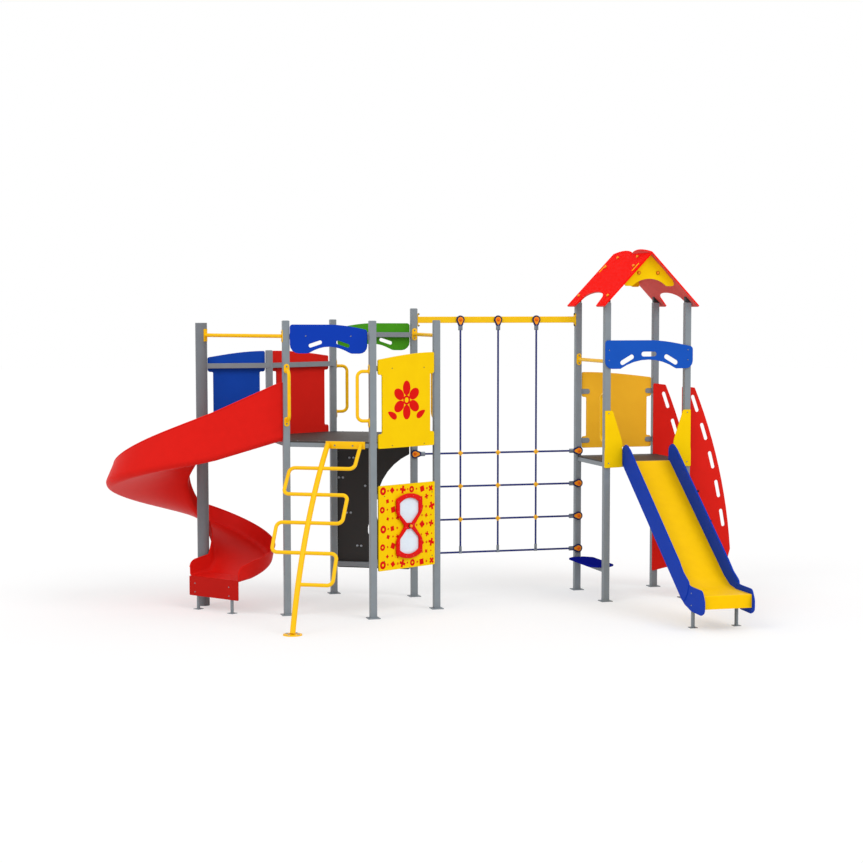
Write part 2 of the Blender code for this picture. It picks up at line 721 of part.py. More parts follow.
def build_spinner():
    front, right = CORNERS["front"], CORNERS["front_right"]
    panel_face = PANEL_BACK + BOARD
    window_back = panel_face + SPINNER_STANDOFF
    frame_back = window_back + WINDOW_THICKNESS + GAP
    frame_face = frame_back + SPINNER_THICKNESS
    hub = Matrix.Translation((SPINNER_ALONG, SPINNER_LEVEL, 0))
    hole = bore(0, 0, AXLE_RADIUS + AXLE_CLEARANCE)
    board("spinner_frame", hourglass(), SPINNER_THICKNESS,
          side_matrix(front, right, frame_back) @ hub, RED_PLASTIC, [pane(1), pane(-1), hole])
    board("spinner_window", hourglass(SPINNER_INSET), WINDOW_THICKNESS,
          side_matrix(front, right, window_back) @ hub, CLEAR, [hole])

    # The axle is a bolt with a collar and a domed knob in front, and a nut behind the panel
    head, face = KNOB_RADIUS, frame_face + GAP
    tip, nut = face + KNOB_HEIGHT, 0.019
    profile = [
        (0, tip), (head * 0.62, tip - 0.002), (head, tip - 0.008), (head, face + COLLAR_HEIGHT),
        (COLLAR_RADIUS, face + COLLAR_HEIGHT - 0.002), (COLLAR_RADIUS, face), (AXLE_RADIUS, face),
        (AXLE_RADIUS, PANEL_BACK - GAP), (nut, PANEL_BACK - GAP), (nut, PANEL_BACK - 0.012),
        (0, PANEL_BACK - 0.012),
    ]
    mesh = bpy.data.meshes.new("spinner_axle")
    mesh.from_pydata([(x, 0, z) for x, z in profile],
                     [(i, i + 1) for i in range(len(profile) - 1)], [])
    axle = place("spinner_axle", mesh, side_matrix(front, right) @ hub, ORANGE)
    turn = axle.modifiers.new("turn", "SCREW")
    turn.axis = "Z"
    turn.steps = turn.render_steps = 16
    turn.use_merge_vertices = True
    turn.merge_threshold = 1e-5
    axle = as_mesh(axle)
    axle.data.shade_smooth()
    axle.data.set_sharp_from_angle(angle=radians(40))


# Guard bars and handles

def flange(matrix, height=FLANGE_HEIGHT, width=FLANGE_WIDTH):
    # A plate with round ends that lies on a post face: Y of the matrix is up and Z is away from the face
    edge = slot(0, 0, height, width, pi / 2)
    return board("flange", edge, FLANGE_THICKNESS, matrix)


def face_matrix(point, way):
    # Z points along way, which is level, and Y is up
    way = way.normalized()
    across = Vector((0, 0, 1)).cross(way)
    matrix = Matrix((across, (0, 0, 1), way)).transposed().to_4x4()
    matrix.translation = point
    return matrix


def straight_bar(name, start, end, level):
    # Between the facing sides of two posts in line with each other along Y
    way = (end - start).normalized()
    first = start + way * (POST / 2 + GAP) + Vector((0, 0, level))
    last = end - way * (POST / 2 + GAP) + Vector((0, 0, level))
    inside = way * FLANGE_THICKNESS / 2
    bar = tube(name, [first + inside, last - inside], BAR_RADIUS, Matrix(), YELLOW_STEEL, 12)
    weld(bar, [flange(face_matrix(first, way)), flange(face_matrix(last, -way))])


def build_guard_bars():
    straight_bar("guard_bar_right", CORNERS["right"], CORNERS["front_right"], GUARD_LEVEL)
    straight_bar("guard_bar_tower", CORNERS["tower_back_left"], CORNERS["tower_front_left"],
                 TOWER_GUARD_LEVEL)
    # The left bar runs from the round column to the left face of the front left post
    up = Vector((0, 0, GUARD_LEVEL))
    column = CORNERS["column"] + up
    target = CORNERS["front_left"] + Vector((-POST / 2 - GAP, 0, 0)) + up
    way = (target - column).normalized()
    bar = tube("guard_bar_left", [column, target + Vector((-FLANGE_THICKNESS / 2, 0, 0))],
               BAR_RADIUS, Matrix(), YELLOW_STEEL, 12)
    saddle = box("saddle", (FLANGE_WIDTH, FLANGE_HEIGHT, 0.03),
                 face_matrix(column + way * (COLUMN_RADIUS - 0.003), way))
    plate = flange(face_matrix(target, Vector((-1, 0, 0))))
    bar = weld(bar, [saddle, plate])
    beyond = box("post face", (POST, 2 * POST, 1),
                 at(target.x + GAP / 10 + POST / 2, target.y, GUARD_LEVEL))
    cut(bar, [column_cutter(), beyond])


def handle_form():
    # One handle on the XY plane of its post face: Y is up and Z is away from the face
    half = HANDLE_HEIGHT / 2
    inside = FLANGE_THICKNESS / 2
    line = rounded([((0, -half, inside), 0), ((0, -half, HANDLE_BULGE), HANDLE_BEND),
                    ((0, half, HANDLE_BULGE), HANDLE_BEND), ((0, half, inside), 0)], closed=False)
    bar = tube("handle", line, HANDLE_RADIUS, Matrix(), YELLOW_STEEL)
    plates = [flange(Matrix.Translation((0, side * (half + HANDLE_PLATE_SHIFT), 0)),
                     HANDLE_PLATE_HEIGHT)
              for side in (-1, 1)]
    return weld(bar, plates)


def build_handles():
    ways = {"front": Vector((0, -1, 0)), "left": Vector((-1, 0, 0)),
            "right": Vector((1, 0, 0)), "back": Vector((0, 1, 0))}
    pattern = handle_form()
    for name, corner, way, level in (
        ("handle_front_left", "front_left", "front", HANDLE_LEVEL),
        ("handle_front", "front", "left", HANDLE_LEVEL),
        ("handle_back", "back", "right", HANDLE_LEVEL),
        ("handle_front_right", "front_right", "back", HANDLE_LEVEL),
        ("handle_tower", "tower_front_left", "back", TOWER_HANDLE_LEVEL),
    ):
        foot = CORNERS[corner] + ways[way] * (POST / 2 + GAP) + Vector((0, 0, level))
        place(name, pattern.data, face_matrix(foot, ways[way]))
    bpy.data.objects.remove(pattern)


# Ladder

def pole_curve():
    # Centre and radius of the arc that the pole follows, and its first angle and sweep
    top, foot = Vector(POLE_TOP), Vector(POLE_FOOT)
    chord = foot - top
    half = chord.length / 2
    radius = (half * half + POLE_BOW ** 2) / (2 * POLE_BOW)
    out = Vector((-chord.y, chord.x)).normalized()
    centre = (top + foot) / 2 + out * (POLE_BOW - radius)
    first = atan2(top.y - centre.y, top.x - centre.x)
    last = atan2(foot.y - centre.y, foot.x - centre.x)
    return centre, radius, first, last - first


def build_ladder():
    matrix = side_matrix(CORNERS["front_left"], CORNERS["front"])
    centre, radius, first, sweep = pole_curve()

    def on_pole(along, distance):
        angle = first - distance / radius
        return Vector((along, centre.y + radius * sin(angle), centre.x + radius * cos(angle)))

    length = abs(sweep) * radius
    pole_line = [on_pole(POLE_ALONG, length * step / 14) for step in range(15)]
    pole = tube("climbing_ladder", pole_line, POLE_RADIUS, matrix, YELLOW_STEEL, 12)

    # The rung tube winds from side to side down the same curved surface
    left, right = RUNG_REACH
    flat = [(right, 0.0)]
    level = FIRST_RUNG
    side = right
    for rung in range(RUNG_COUNT):
        level = FIRST_RUNG + rung * RUNG_PITCH
        flat.append((side, level))
        side = left if side == right else right
        flat.append((side if rung < RUNG_COUNT - 1 else POLE_ALONG, level))
    flat_line = rounded([((x, y, 0), RUNG_BEND) for x, y in flat], closed=False)
    rung_line = [on_pole(point.x, point.y) for point in flat_line]
    rungs = tube("rungs", rung_line, RUNG_RADIUS, matrix)

    low, high, bottom, top = LADDER_PLATE
    plate = board("plate", outline((low, bottom, 0.01), (high, bottom, 0.01),
                                   (high, top, 0.01), (low, top, 0.01)),
                  PLATE_THICKNESS, matrix @ at(z=SEAT + GAP))
    foot = matrix @ Vector((POLE_ALONG, 0, pole_line[-1].z))
    base = cylinder("base", POLE_BASE_RADIUS, 0.010, at(foot.x, foot.y))
    trim = box("trim", (1, 0.3, 0.5), matrix @ Matrix.Translation((0.5, 1.54, SEAT + GAP - 0.25)))
    cut(weld(pole, [rungs, plate, base]), [trim])


# Climbing wall

def build_climbing_wall():
    far = SIDE - WALL_EDGE
    low, high, depth = WALL_BITE
    near = PANEL_EDGE
    edge = outline(
        (near, WALL_TOP, 0.010), (near, high, 0.010),
        *bow((near, high), (near, low), depth, 14),
        (near, low, 0.010), (near, WALL_BOTTOM, 0.012), (far, WALL_BOTTOM, 0.012),
        (far, WALL_TOP, 0.010),
    )
    hole = slot(*WALL_HOLE, radians(90))
    board("climbing_wall", edge, BOARD,
          side_matrix(CORNERS["right"], CORNERS["back"], PANEL_BACK), CHARCOAL, [hole])


# Net

def thimble(point, tail):
    # The eye at a rope's end: a round plate on the steel with a neck towards the rope
    way = Vector(tail)
    across = Vector((-way.y, way.x))
    root = Vector(point) + way * THIMBLE_TAIL
    neck = 0.011
    corners = []
    for i in range(11):
        angle = radians(50 + 26 * i)
        spot = Vector(point) + way * (THIMBLE_RADIUS * cos(angle)) + across * (THIMBLE_RADIUS * sin(angle))
        corners.append((spot.x, spot.y))
    first = root - across * neck
    last = root + across * neck
    edge = outline(*corners, (first.x, first.y), (last.x, last.y))
    depth = 2 * (ROPE_FRONT - GAP)
    matrix = side_matrix(CORNERS["right"], CORNERS["tower_back_left"], POST / 2 + GAP)
    return board("thimble", edge, depth, matrix)


def build_net():
    start, end = CORNERS["right"], CORNERS["tower_back_left"]
    left, right = start.x + POST / 2 + GAP, end.x - POST / 2 - GAP
    beam = box("net_beam", (right - left - PLATE_THICKNESS, NET_BEAM, NET_BEAM),
               at((left + right) / 2, start.y, NET_BEAM_LEVEL), YELLOW_STEEL)
    plates = [
        box("end plate", (PLATE_THICKNESS, NET_BEAM, BEAM_PLATE_HEIGHT),
            at(x, start.y, NET_BEAM_LEVEL))
        for x in (left + PLATE_THICKNESS / 2, right - PLATE_THICKNESS / 2)
    ]
    weld(beam, plates)

    # Ropes lie in front of the posts and the beam, with an eye at each end on the steel
    y = start.y - POST / 2 - ROPE_FRONT
    bottom = ROPE_LEVELS[-1]
    ropes = [
        tube("rope", [(start.x + THIMBLE_TAIL * 0.6, y, level), (end.x - THIMBLE_TAIL * 0.6, y, level)],
             ROPE_RADIUS, Matrix(), None, 8)
        for level in ROPE_LEVELS
    ]
    ropes += [
        tube("rope", [(x, y, NET_BEAM_LEVEL - THIMBLE_TAIL * 0.6), (x, y, bottom - 0.028)],
             ROPE_RADIUS, Matrix(), None, 8)
        for x in ROPE_PLACES
    ]
    run = end.x - start.x
    eyes = [thimble((x - start.x, NET_BEAM_LEVEL), (0, -1)) for x in ROPE_PLACES]
    for level in ROPE_LEVELS:
        eyes += [thimble((0, level), (1, 0)), thimble((run, level), (-1, 0))]
    net = bpy.data.objects["rope"]
    net.name = "rope_net"
    net.data.materials.append(ROPE_BLUE)
    weld(net, [item for item in ropes + eyes if item is not net])


# Square tower boards

def build_tower_boards():
    left, right = CORNERS["tower_front_left"], CORNERS["tower_front_right"]
    front = side_matrix(left, right, POST / 2 + GAP)
    near, far, high = -POST / 2, SIDE + 0.043, TOWER_HEADER_TOP
    low = high - TOWER_HEADER_HEIGHT
    edge = outline(
        (near, high, 0.030), (near, low, 0.070), (near + 0.150, low, 0.020),
        *bow((near + 0.150, low), (far - 0.168, low), 0.084),
        (far - 0.168, low, 0.020), (far, low, 0.070), (far, high - 0.062, 0.030),
        *crest((far, high - 0.062), (SIDE / 2, high)), (SIDE / 2, high),
    )
    slots = [slot(SIDE / 2 + 0.005 + side * 0.2185, low + 0.084, 0.150, 0.045, -side * radians(30))
             for side in (-1, 1)]
    slots.append(slot(SIDE / 2 + 0.004, low + 0.136, 0.152, 0.045))
    board("tower_header_panel", edge, BOARD, front, BLUE, slots)

    back_left, back_right = CORNERS["tower_back_left"], CORNERS["tower_back_right"]
    notch = (1.500, 1.880, 0.045)
    # From inside the tower the high side of this panel is on the left
    board("tower_back_panel",
          barrier_outline(0.042, SIDE - 0.042, 1.387, 2.067, 2.123, notch),
          BOARD, side_matrix(back_right, back_left, -BOARD / 2), AMBER)

    guard = [(-0.027, 1.790, 0.006), (-0.027, 1.445, 0.02), (-0.031, 1.398, 0.02),
             (-0.031, 1.256, 0.010), (0.143, 1.262, 0.010), (0.143, 1.500, 0.12),
             (0.047, 1.790, 0.010)]
    mirrored = [(SIDE - x, y, r) for x, y, r in reversed(guard)]
    board("slide_guard_left", outline(*guard), BOARD, front, YELLOW)
    board("slide_guard_right", outline(*mirrored), BOARD, front, YELLOW)


# Roof

def roof_underside(from_middle):
    return RIDGE_LEVEL - from_middle * tan(ROOF_PITCH) - ROOF_BOARD / cos(ROOF_PITCH)


def slope_matrix(side):
    # X runs down the slope, Y along the ridge and Z out of the roof. side is -1 on the left
    down = Vector((side * cos(ROOF_PITCH), 0, -sin(ROOF_PITCH)))
    out = Vector((side * sin(ROOF_PITCH), 0, cos(ROOF_PITCH)))
    matrix = Matrix((down, out.cross(down), out)).transposed().to_4x4()
    matrix.translation = Vector((TOWER_MIDDLE, 0, RIDGE_LEVEL)) - out * ROOF_BOARD
    return matrix


def build_roof():
    half = ROOF_HALF_LENGTH
    width, springing, rise = ROOF_ARCH
    butt = (ROOF_BOARD * (1 - cos(2 * ROOF_PITCH)) + GAP) / sin(2 * ROOF_PITCH)
    tab_low, tab_high = GABLE_TAB
    tab_half = ROOF_BOARD / 2 + GAP
    for side, name in ((-1, "roof_slope_left"), (1, "roof_slope_right")):
        # The left board crests over the ridge in its front half and the right one in its back half,
        # which for both is the half on its own negative Y side
        edge = outline(
            (0, -GAP / 2), *bow((0, -GAP / 2), (0, -half), -ROOF_CREST),
            (0, -half, 0.008), (ROOF_SLOPE, -half, 0.012), (ROOF_SLOPE, -FOOT_EDGE, 0.012),
            *[(springing - rise * sin(pi * step / 12), -width * cos(pi * step / 12))
              for step in range(13)],
            (ROOF_SLOPE, FOOT_EDGE, 0.012), (ROOF_SLOPE, half, 0.012), (butt, half, 0.008),
            (butt, -GAP / 2),
        )
        slots = [
            outline((tab_low - GAP, y - tab_half), (tab_high + GAP, y - tab_half),
                    (tab_high + GAP, y + tab_half), (tab_low - GAP, y + tab_half))
            for y in (-GABLE_PLACE, GABLE_PLACE)
        ]
        board(name, edge, ROOF_BOARD, slope_matrix(side), RED, slots)

    def under(distance, depth):
        # A point of the gable, down the right slope and below its outer face
        down = Vector((cos(ROOF_PITCH), -sin(ROOF_PITCH)))
        out = Vector((sin(ROOF_PITCH), cos(ROOF_PITCH)))
        return down * distance - out * depth + Vector((0, RIDGE_LEVEL))

    inside = ROOF_BOARD + GAP
    apex = Vector((0, RIDGE_LEVEL - inside / cos(ROOF_PITCH)))
    right = [(apex.x, apex.y)]
    for distance, depth in ((tab_low, inside), (tab_low, -TAB_PROUD),
                            (tab_high, -TAB_PROUD), (tab_high, inside), (0.355, inside)):
        spot = under(distance, depth)
        right.append((spot.x, spot.y))
    foot = RIDGE_LEVEL - GABLE_HEIGHT
    lobe = [(0.252, foot, 0.020), (0.170, foot, 0.030)]
    arch = bow((0.160, foot + 0.010), (-0.160, foot + 0.010), -GABLE_ARCH)
    corners = right + lobe + arch
    corners += [(-x, y, r) for x, y, r in reversed(lobe)]
    corners += [(-x, y) for x, y in reversed(right[1:])]
    for y, name in ((-GABLE_PLACE, "roof_gable_front"), (GABLE_PLACE, "roof_gable_back")):
        matrix = face_matrix(Vector((TOWER_MIDDLE, y + ROOF_BOARD / 2, 0)), Vector((0, -1, 0)))
        board(name, outline(*corners), ROOF_BOARD, matrix, YELLOW)


# Straight slide

def slide_bed_line():
    # (forward, up): the top of the bed, from the deck to the lip
    start = -(SIDE / 2 + SEAT + GAP)
    return rounded([
        ((-start, SLIDE_TOP - 0.050, 0), 0), ((-start, SLIDE_TOP, 0), 0.004),
        ((-start + 0.035, SLIDE_TOP, 0), 0.060),
        ((SLIDE_REACH - 0.468, LIP_LEVEL, 0), 0.450), ((SLIDE_REACH, LIP_LEVEL, 0), 0.008),
        ((SLIDE_REACH, LIP_BOTTOM, 0), 0),
    ], closed=False)


def build_straight_slide():
    inner = SLIDE_OUTER - SLIDE_BOARD - GAP
    # The bed is a bent sheet: its line carried across the slide, then given its thickness
    form = bmesh.new()
    rows = [form.verts.new((-inner, -point.x, point.y)) for point in slide_bed_line()]
    edges = [form.edges.new(pair) for pair in zip(rows, rows[1:])]
    wide = bmesh.ops.extrude_edge_only(form, edges=edges)
    moved = [item for item in wide["geom"] if isinstance(item, bmesh.types.BMVert)]
    bmesh.ops.translate(form, verts=moved, vec=(2 * inner, 0, 0))
    bmesh.ops.recalc_face_normals(form, faces=form.faces)
    mesh = bpy.data.meshes.new("straight_slide_bed")
    form.to_mesh(mesh)
    form.free()
    bed = place("straight_slide_bed", mesh, at(SLIDE_MIDDLE), YELLOW)
    skin = bed.modifiers.new("sheet", "SOLIDIFY")
    skin.thickness = BED_THICKNESS
    skin.offset = 1 if mesh.polygons[len(mesh.polygons) // 2].normal.z < 0 else -1
    skin.use_even_offset = True
    as_mesh(bed)

    # Each side is a board with a flared end, and its sloping part is a cheek on the outside of it
    back, reach, top, lip = SIDE / 2 + SEAT + GAP, SLIDE_REACH, SLIDE_TOP, LIP_LEVEL
    upper = [
        (back, top - 0.017, 0.005), (back, top + 0.126, 0.060), (back + 0.092, top + 0.168, 0.070),
        (back + 0.192, top + 0.118, 0.080), (reach - 0.518, lip + 0.233, 0.120),
    ]
    edge = outline(
        *upper, (reach - 0.358, lip + 0.073, 0.080), (reach - 0.258, lip + 0.050, 0.120),
        (reach - 0.008, lip + 0.044, 0.060), (reach + 0.042, lip - 0.042, 0.060),
        (reach + 0.042, lip - 0.142, 0.050), (reach - 0.028, lip - 0.172, 0.060),
        (reach - 0.238, lip - 0.164, 0.100), (reach - 0.398, lip - 0.122, 0.080),
        (back + 0.062, top - 0.069, 0.050),
    )
    trim = 0.001
    cheek = outline(
        (upper[0][0] + trim, upper[0][1] + trim, upper[0][2]),
        (upper[1][0] + trim, upper[1][1] - trim, upper[1][2]),
        *[(x, y - trim, r) for x, y, r in upper[2:]],
        (reach - 0.413, lip + 0.146, 0.040), (reach - 0.278, lip + 0.073, 0.040),
        (reach - 0.318, lip - 0.022, 0.100), (reach - 0.398, lip - 0.122 + trim, 0.060),
        (back + 0.062, top - 0.069 + trim, 0.050),
    )
    thin = SLIDE_BOARD - SLIDE_CHEEK
    for name, side in (("straight_slide_side_left", -1), ("straight_slide_side_right", 1)):
        # X of the board runs forward, Y up, and Z towards -X of the structure
        matrix = Matrix(((0, 0, -1), (-1, 0, 0), (0, 1, 0))).to_4x4()
        inner_face = SLIDE_OUTER - SLIDE_BOARD
        matrix.translation = (SLIDE_MIDDLE + side * inner_face + (thin if side > 0 else 0), 0, 0)
        end = board(name, edge, thin, matrix, BLUE)
        sunk = SLIDE_CHEEK / 2
        start = SLIDE_OUTER if side > 0 else inner_face + sunk
        matrix.translation = (SLIDE_MIDDLE + side * start, 0, 0)
        weld(end, [board("cheek", cheek, SLIDE_BOARD - sunk, matrix)])

    top = lip - BED_THICKNESS - GAP
    legs = []
    for side in (-1, 1):
        x = SLIDE_MIDDLE + side * SLIDE_LEG_APART / 2
        legs.append(cylinder("leg", SLIDE_LEG_RADIUS, top - 0.010 - LEG_PLATE_THICKNESS / 2,
                             at(x, -(SLIDE_REACH - SLIDE_LEG_BACK), LEG_PLATE_THICKNESS / 2), None, 12))
        legs.append(box("leg plate", (LEG_PLATE, LEG_PLATE, LEG_PLATE_THICKNESS),
                        at(x, -(SLIDE_REACH - SLIDE_LEG_BACK), LEG_PLATE_THICKNESS / 2)))
    strap = box("straight_slide_leg_frame", (2 * inner - 0.002, 0.040, 0.020),
                at(SLIDE_MIDDLE, -(SLIDE_REACH - SLIDE_LEG_BACK), top - 0.010), GREY_STEEL)
    weld(strap, legs)


# Step climber

def build_climber():
    # Each board lies on the inner faces of a pair of posts, notched round the edge of the deck
    left, deck_edge = -POST / 2, SEAT + GAP
    deck_top, deck_bottom = SQUARE_DECK_TOP + GAP, SQUARE_BEAM_BOTTOM - GAP
    edge = outline(
        (left, CLIMBER_TOP, 0.015), (left, deck_top), (deck_edge, deck_top),
        (deck_edge, deck_bottom), (left, deck_bottom), (left, CLIMBER_BOTTOM, 0.012),
        (0.284, 0.225, 0.100), (0.444, 0.335, 0.050), CLIMBER_KNEE,
        *bow(CLIMBER_KNEE, CLIMBER_SHOULDER, -CLIMBER_BOW, 12),
        (*CLIMBER_SHOULDER, 0.010),
    )
    grips = []
    line = [GRIP_FIRST, *bow(GRIP_FIRST, GRIP_LAST, GRIP_BOW, GRIP_COUNT - 1), GRIP_LAST]
    for index, (x, z) in enumerate(line):
        first, last = line[max(index - 1, 0)], line[min(index + 1, GRIP_COUNT - 1)]
        tilt = atan2(last[1] - first[1], last[0] - first[0])
        length, width = GRIP_SIZE
        grips.append(slot(x, z, length - width / 50, width, tilt))
    inner_face = SIDE / 2 - POST / 2 - GAP
    for name, y in (("climber_board_front", -inner_face + BOARD), ("climber_board_back", inner_face)):
        board(name, edge, BOARD, face_matrix(Vector((TOWER_RIGHT, y, 0)), Vector((0, -1, 0))), RED, grips)

    # Steps between the boards, joined by a strap at each end
    width = 2 * (inner_face - BOARD - GAP)
    steps = [
        box("step", (STEP_DEPTH, width, STEP_THICKNESS),
            at(TOWER_RIGHT + STEP_FIRST[0] + STEP_PITCH[0] * i, 0, STEP_FIRST[1] + STEP_PITCH[1] * i))
        for i in range(STEP_COUNT)
    ]
    reach = Vector((STEP_PITCH[0], 0, STEP_PITCH[1])) * (STEP_COUNT - 1)
    middle = Vector((TOWER_RIGHT + STEP_FIRST[0], 0, STEP_FIRST[1])) + reach / 2
    slant = Matrix.Rotation(atan2(STEP_PITCH[0], -STEP_PITCH[1]) * -1, 4, "Y")
    straps = [
        box("strap", (0.045, LUG_THICKNESS, reach.length + 0.060),
            Matrix.Translation((middle.x, side * (width - LUG_THICKNESS) / 2, middle.z)) @ slant)
        for side in (-1, 1)
    ]
    frame = steps[0]
    frame.name = "climber_step_frame"
    frame.data.materials.append(CHARCOAL)
    weld(frame, steps[1:] + straps)


# Bench

def build_bench():
    x = TOWER_LEFT
    long, wide, corner = BENCH_LENGTH / 2, BENCH_WIDTH / 2, BENCH_CORNER
    edge = outline(
        (wide, -long + corner, 0.02), (wide, long - corner, 0.02), (wide - corner, long, 0.02),
        (corner - wide, long, 0.02), (-wide, long - corner, 0.02), (-wide, corner - long, 0.02),
        (corner - wide, -long, 0.02), (wide - corner, -long, 0.02),
    )
    seat_bottom = BENCH_TOP - BENCH_THICKNESS
    board("bench_seat", edge, BENCH_THICKNESS, at(x, 0, seat_bottom), NAVY)
    length = SIDE - POST - 2 * GAP
    box("bench_beam", (BEAM, length, BEAM), at(x, 0, seat_bottom - GAP - BEAM / 2), GREY_STEEL)


# Spiral slide

def blended(turn):
    # The section at any turn, eased between the rows of the table
    rows = CHUTE_SECTIONS
    index = max(i for i, row in enumerate(rows[:-1]) if row[0] <= turn or i == 0)
    before, start, end = rows[max(index - 1, 0)], rows[index], rows[index + 1]
    after = rows[min(index + 2, len(rows) - 1)]
    span = end[0] - start[0]
    t = (turn - start[0]) / span
    values = []
    for a, b, c, d in zip(before[1:], start[1:], end[1:], after[1:]):
        rise_in = (c - a) / (end[0] - before[0]) * span
        rise_out = (d - b) / (after[0] - start[0]) * span
        values.append(
            (2 * t ** 3 - 3 * t ** 2 + 1) * b + (t ** 3 - 2 * t ** 2 + t) * rise_in
            + (3 * t ** 2 - 2 * t ** 3) * c + (t ** 3 - t ** 2) * rise_out
        )
    return values


def section(values, bend=CREASE):
    # (radius, height) from the inner rim over the bed to the outer rim
    bed, crease, rim, rim_height, inner_crease, inner_rim, inner_height = values
    line = rounded([
        ((inner_rim, inner_height, 0), 0), ((inner_crease, bed + 0.012, 0), bend),
        ((crease, bed, 0), bend), ((rim, rim_height, 0), 0),
    ], closed=False)
    # The same count of points in each section, so that they can be joined
    return evenly(line[:1], 1) + evenly(line[1:-1], 10) + evenly(line[-1:], 1)


def evenly(line, count):
    if count == 1:
        return [line[0]]
    lengths = [0]
    for first, second in zip(line, line[1:]):
        lengths.append(lengths[-1] + (second - first).length)
    half = len(line) // 2
    parts_of = (line[:half], line[half:])
    points = []
    for part in parts_of:
        total = sum((b - a).length for a, b in zip(part, part[1:]))
        for step in range(count // 2):
            want = total * step / (count // 2 - 1)
            for a, b in zip(part, part[1:]):
                run = (b - a).length
                if want <= run + 1e-9:
                    points.append(a + (b - a) * (want / run))
                    break
                want -= run
    return points


def chute_stations():
    # (origin, outward direction, section, bend of its creases) down the whole chute
    x, y = COLUMN_PLACE
    entry_run = -SIDE * HALF_ROOT - POST / 2 - 2 * GAP - x
    first = blended(0)
    stations = [(Vector((x + entry_run, y, 0)), Vector((0, -1, 0)), CHUTE_ENTRY, CREASE)]
    for step in range(5):
        # The mouth runs level for its first few centimetres, so that it meets the deck squarely
        t = step / 5
        eased = [a + (b - a) * t for a, b in zip(CHUTE_ENTRY, first)]
        run = (entry_run - MOUTH_RUN) * (1 - t)
        stations.append((Vector((x + run, y, 0)), Vector((0, -1, 0)), eased, CREASE))
    last_turn = CHUTE_SECTIONS[-1][0]
    for step in range(last_turn // CHUTE_STEP + 1):
        turn = step * CHUTE_STEP
        angle = -pi / 2 - radians(turn)
        out = Vector((cos(angle), sin(angle), 0))
        stations.append((Vector((x, y, 0)), out, blended(turn), CREASE))
    out = stations[-1][1]
    ahead = Vector((out.y, -out.x, 0))
    last = stations[-1][2]
    reach = EXIT_LEG_AHEAD + EXIT_LEG_RADIUS
    for step in (1, 2, 3):
        t = step / 3
        eased = [a + (b - a) * t for a, b in zip(last, CHUTE_EXIT)]
        bend = CREASE + (EXIT_CREASE - CREASE) * t
        stations.append((Vector((x, y, 0)) + ahead * (reach - MOUTH_RUN) * t, out, eased, bend))
    bed, crease, rim, rim_height, inner_crease, inner_rim, inner_height = CHUTE_EXIT
    dropped = (bed, crease, rim, rim_height - EXIT_DROP, inner_crease, inner_rim,
               inner_height - EXIT_DROP)
    stations.append((Vector((x, y, 0)) + ahead * reach, out, dropped, EXIT_CREASE))
    return stations


def build_spiral_slide():
    stations = chute_stations()
    form = bmesh.new()
    rows = []
    for origin, out, values, bend in stations:
        rows.append([form.verts.new(origin + out * p.x + Vector((0, 0, p.y)))
                     for p in section(values, bend)])
    for first, second in zip(rows, rows[1:]):
        for a, b, c, d in zip(first, first[1:], second[1:], second):
            form.faces.new((a, b, c, d))
    bmesh.ops.recalc_face_normals(form, faces=form.faces)
    mesh = bpy.data.meshes.new("spiral_chute")
    form.to_mesh(mesh)
    form.free()
    chute = place("spiral_chute", mesh, Matrix(), RED_PLASTIC)
    skin = chute.modifiers.new("skin", "SOLIDIFY")
    skin.thickness = CHUTE_SKIN
    middle = mesh.polygons[5]
    skin.offset = 1 if middle.normal.z < 0 else -1
    chute = as_mesh(chute)
    chute.data.shade_smooth()
    chute.data.set_sharp_from_angle(angle=radians(45))

    # The exit panel and the leg frame stand across the end of the chute
    out = stations[-1][1]
    ahead = Vector((out.y, -out.x, 0))
    column = CORNERS["column"]
    leg_line = column + ahead * EXIT_LEG_AHEAD
    low, high, bottom, top = EXIT_PANEL
    panel_back = EXIT_LEG_AHEAD + EXIT_LEG_RADIUS + GAP
    matrix = Matrix((out, (0, 0, 1), ahead)).transposed().to_4x4()
    if matrix.determinant() < 0:
        matrix = Matrix((-out, (0, 0, 1), ahead)).transposed().to_4x4()
        low, high = -high, -low
    matrix.translation = column + ahead * panel_back
    board("spiral_exit_panel",
          outline((low, bottom, 0.01), (high, bottom, 0.01), (high, top, 0.01), (low, top, 0.01)),
          EXIT_PANEL_THICKNESS, matrix, RED)
    frame_top = CHUTE_EXIT[0] - CHUTE_SKIN - GAP
    turn = atan2(out.y, out.x)
    bar_height = 0.030
    near, far = EXIT_LEGS
    middle = leg_line + out * (near + far) / 2
    bar = box("spiral_leg_frame", (far - near + 0.040, 2 * EXIT_LEG_RADIUS, bar_height),
              at(middle.x, middle.y, frame_top - bar_height / 2, turn), GREY_STEEL)
    legs = []
    for place_of in EXIT_LEGS:
        foot = leg_line + out * place_of
        legs.append(cylinder("leg", EXIT_LEG_RADIUS, frame_top - 0.010 - LEG_PLATE_THICKNESS / 2,
                             at(foot.x, foot.y, LEG_PLATE_THICKNESS / 2), None, 12))
        legs.append(box("leg plate", (LEG_PLATE, LEG_PLATE, LEG_PLATE_THICKNESS),
                        at(foot.x, foot.y, LEG_PLATE_THICKNESS / 2, turn)))
    weld(bar, legs)


build_posts()
build_rails()
build_barrier_frame()
build_decks()
build_barrier_panels()
build_header_panels()
build_play_panel()
build_spinner()
build_guard_bars()
build_handles()
build_ladder()
build_climbing_wall()
build_net()
build_tower_boards()
build_roof()
build_straight_slide()
build_climber()
build_bench()
build_spiral_slide()
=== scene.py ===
# Looks of a playground structure: a hexagonal tower with a spiral slide, a ladder and a play
# panel, a roofed square tower with a straight slide and a climber, and a rope net between them.
# Metres, +Z up. Places are given from the middle of the hexagonal tower, on the ground.

import json
from math import atan2, cos, hypot, pi, radians, sin, sqrt, tan

import bmesh
import bpy
from bmesh.types import BMEdge, BMFace, BMVert
from mathutils import Matrix, Vector


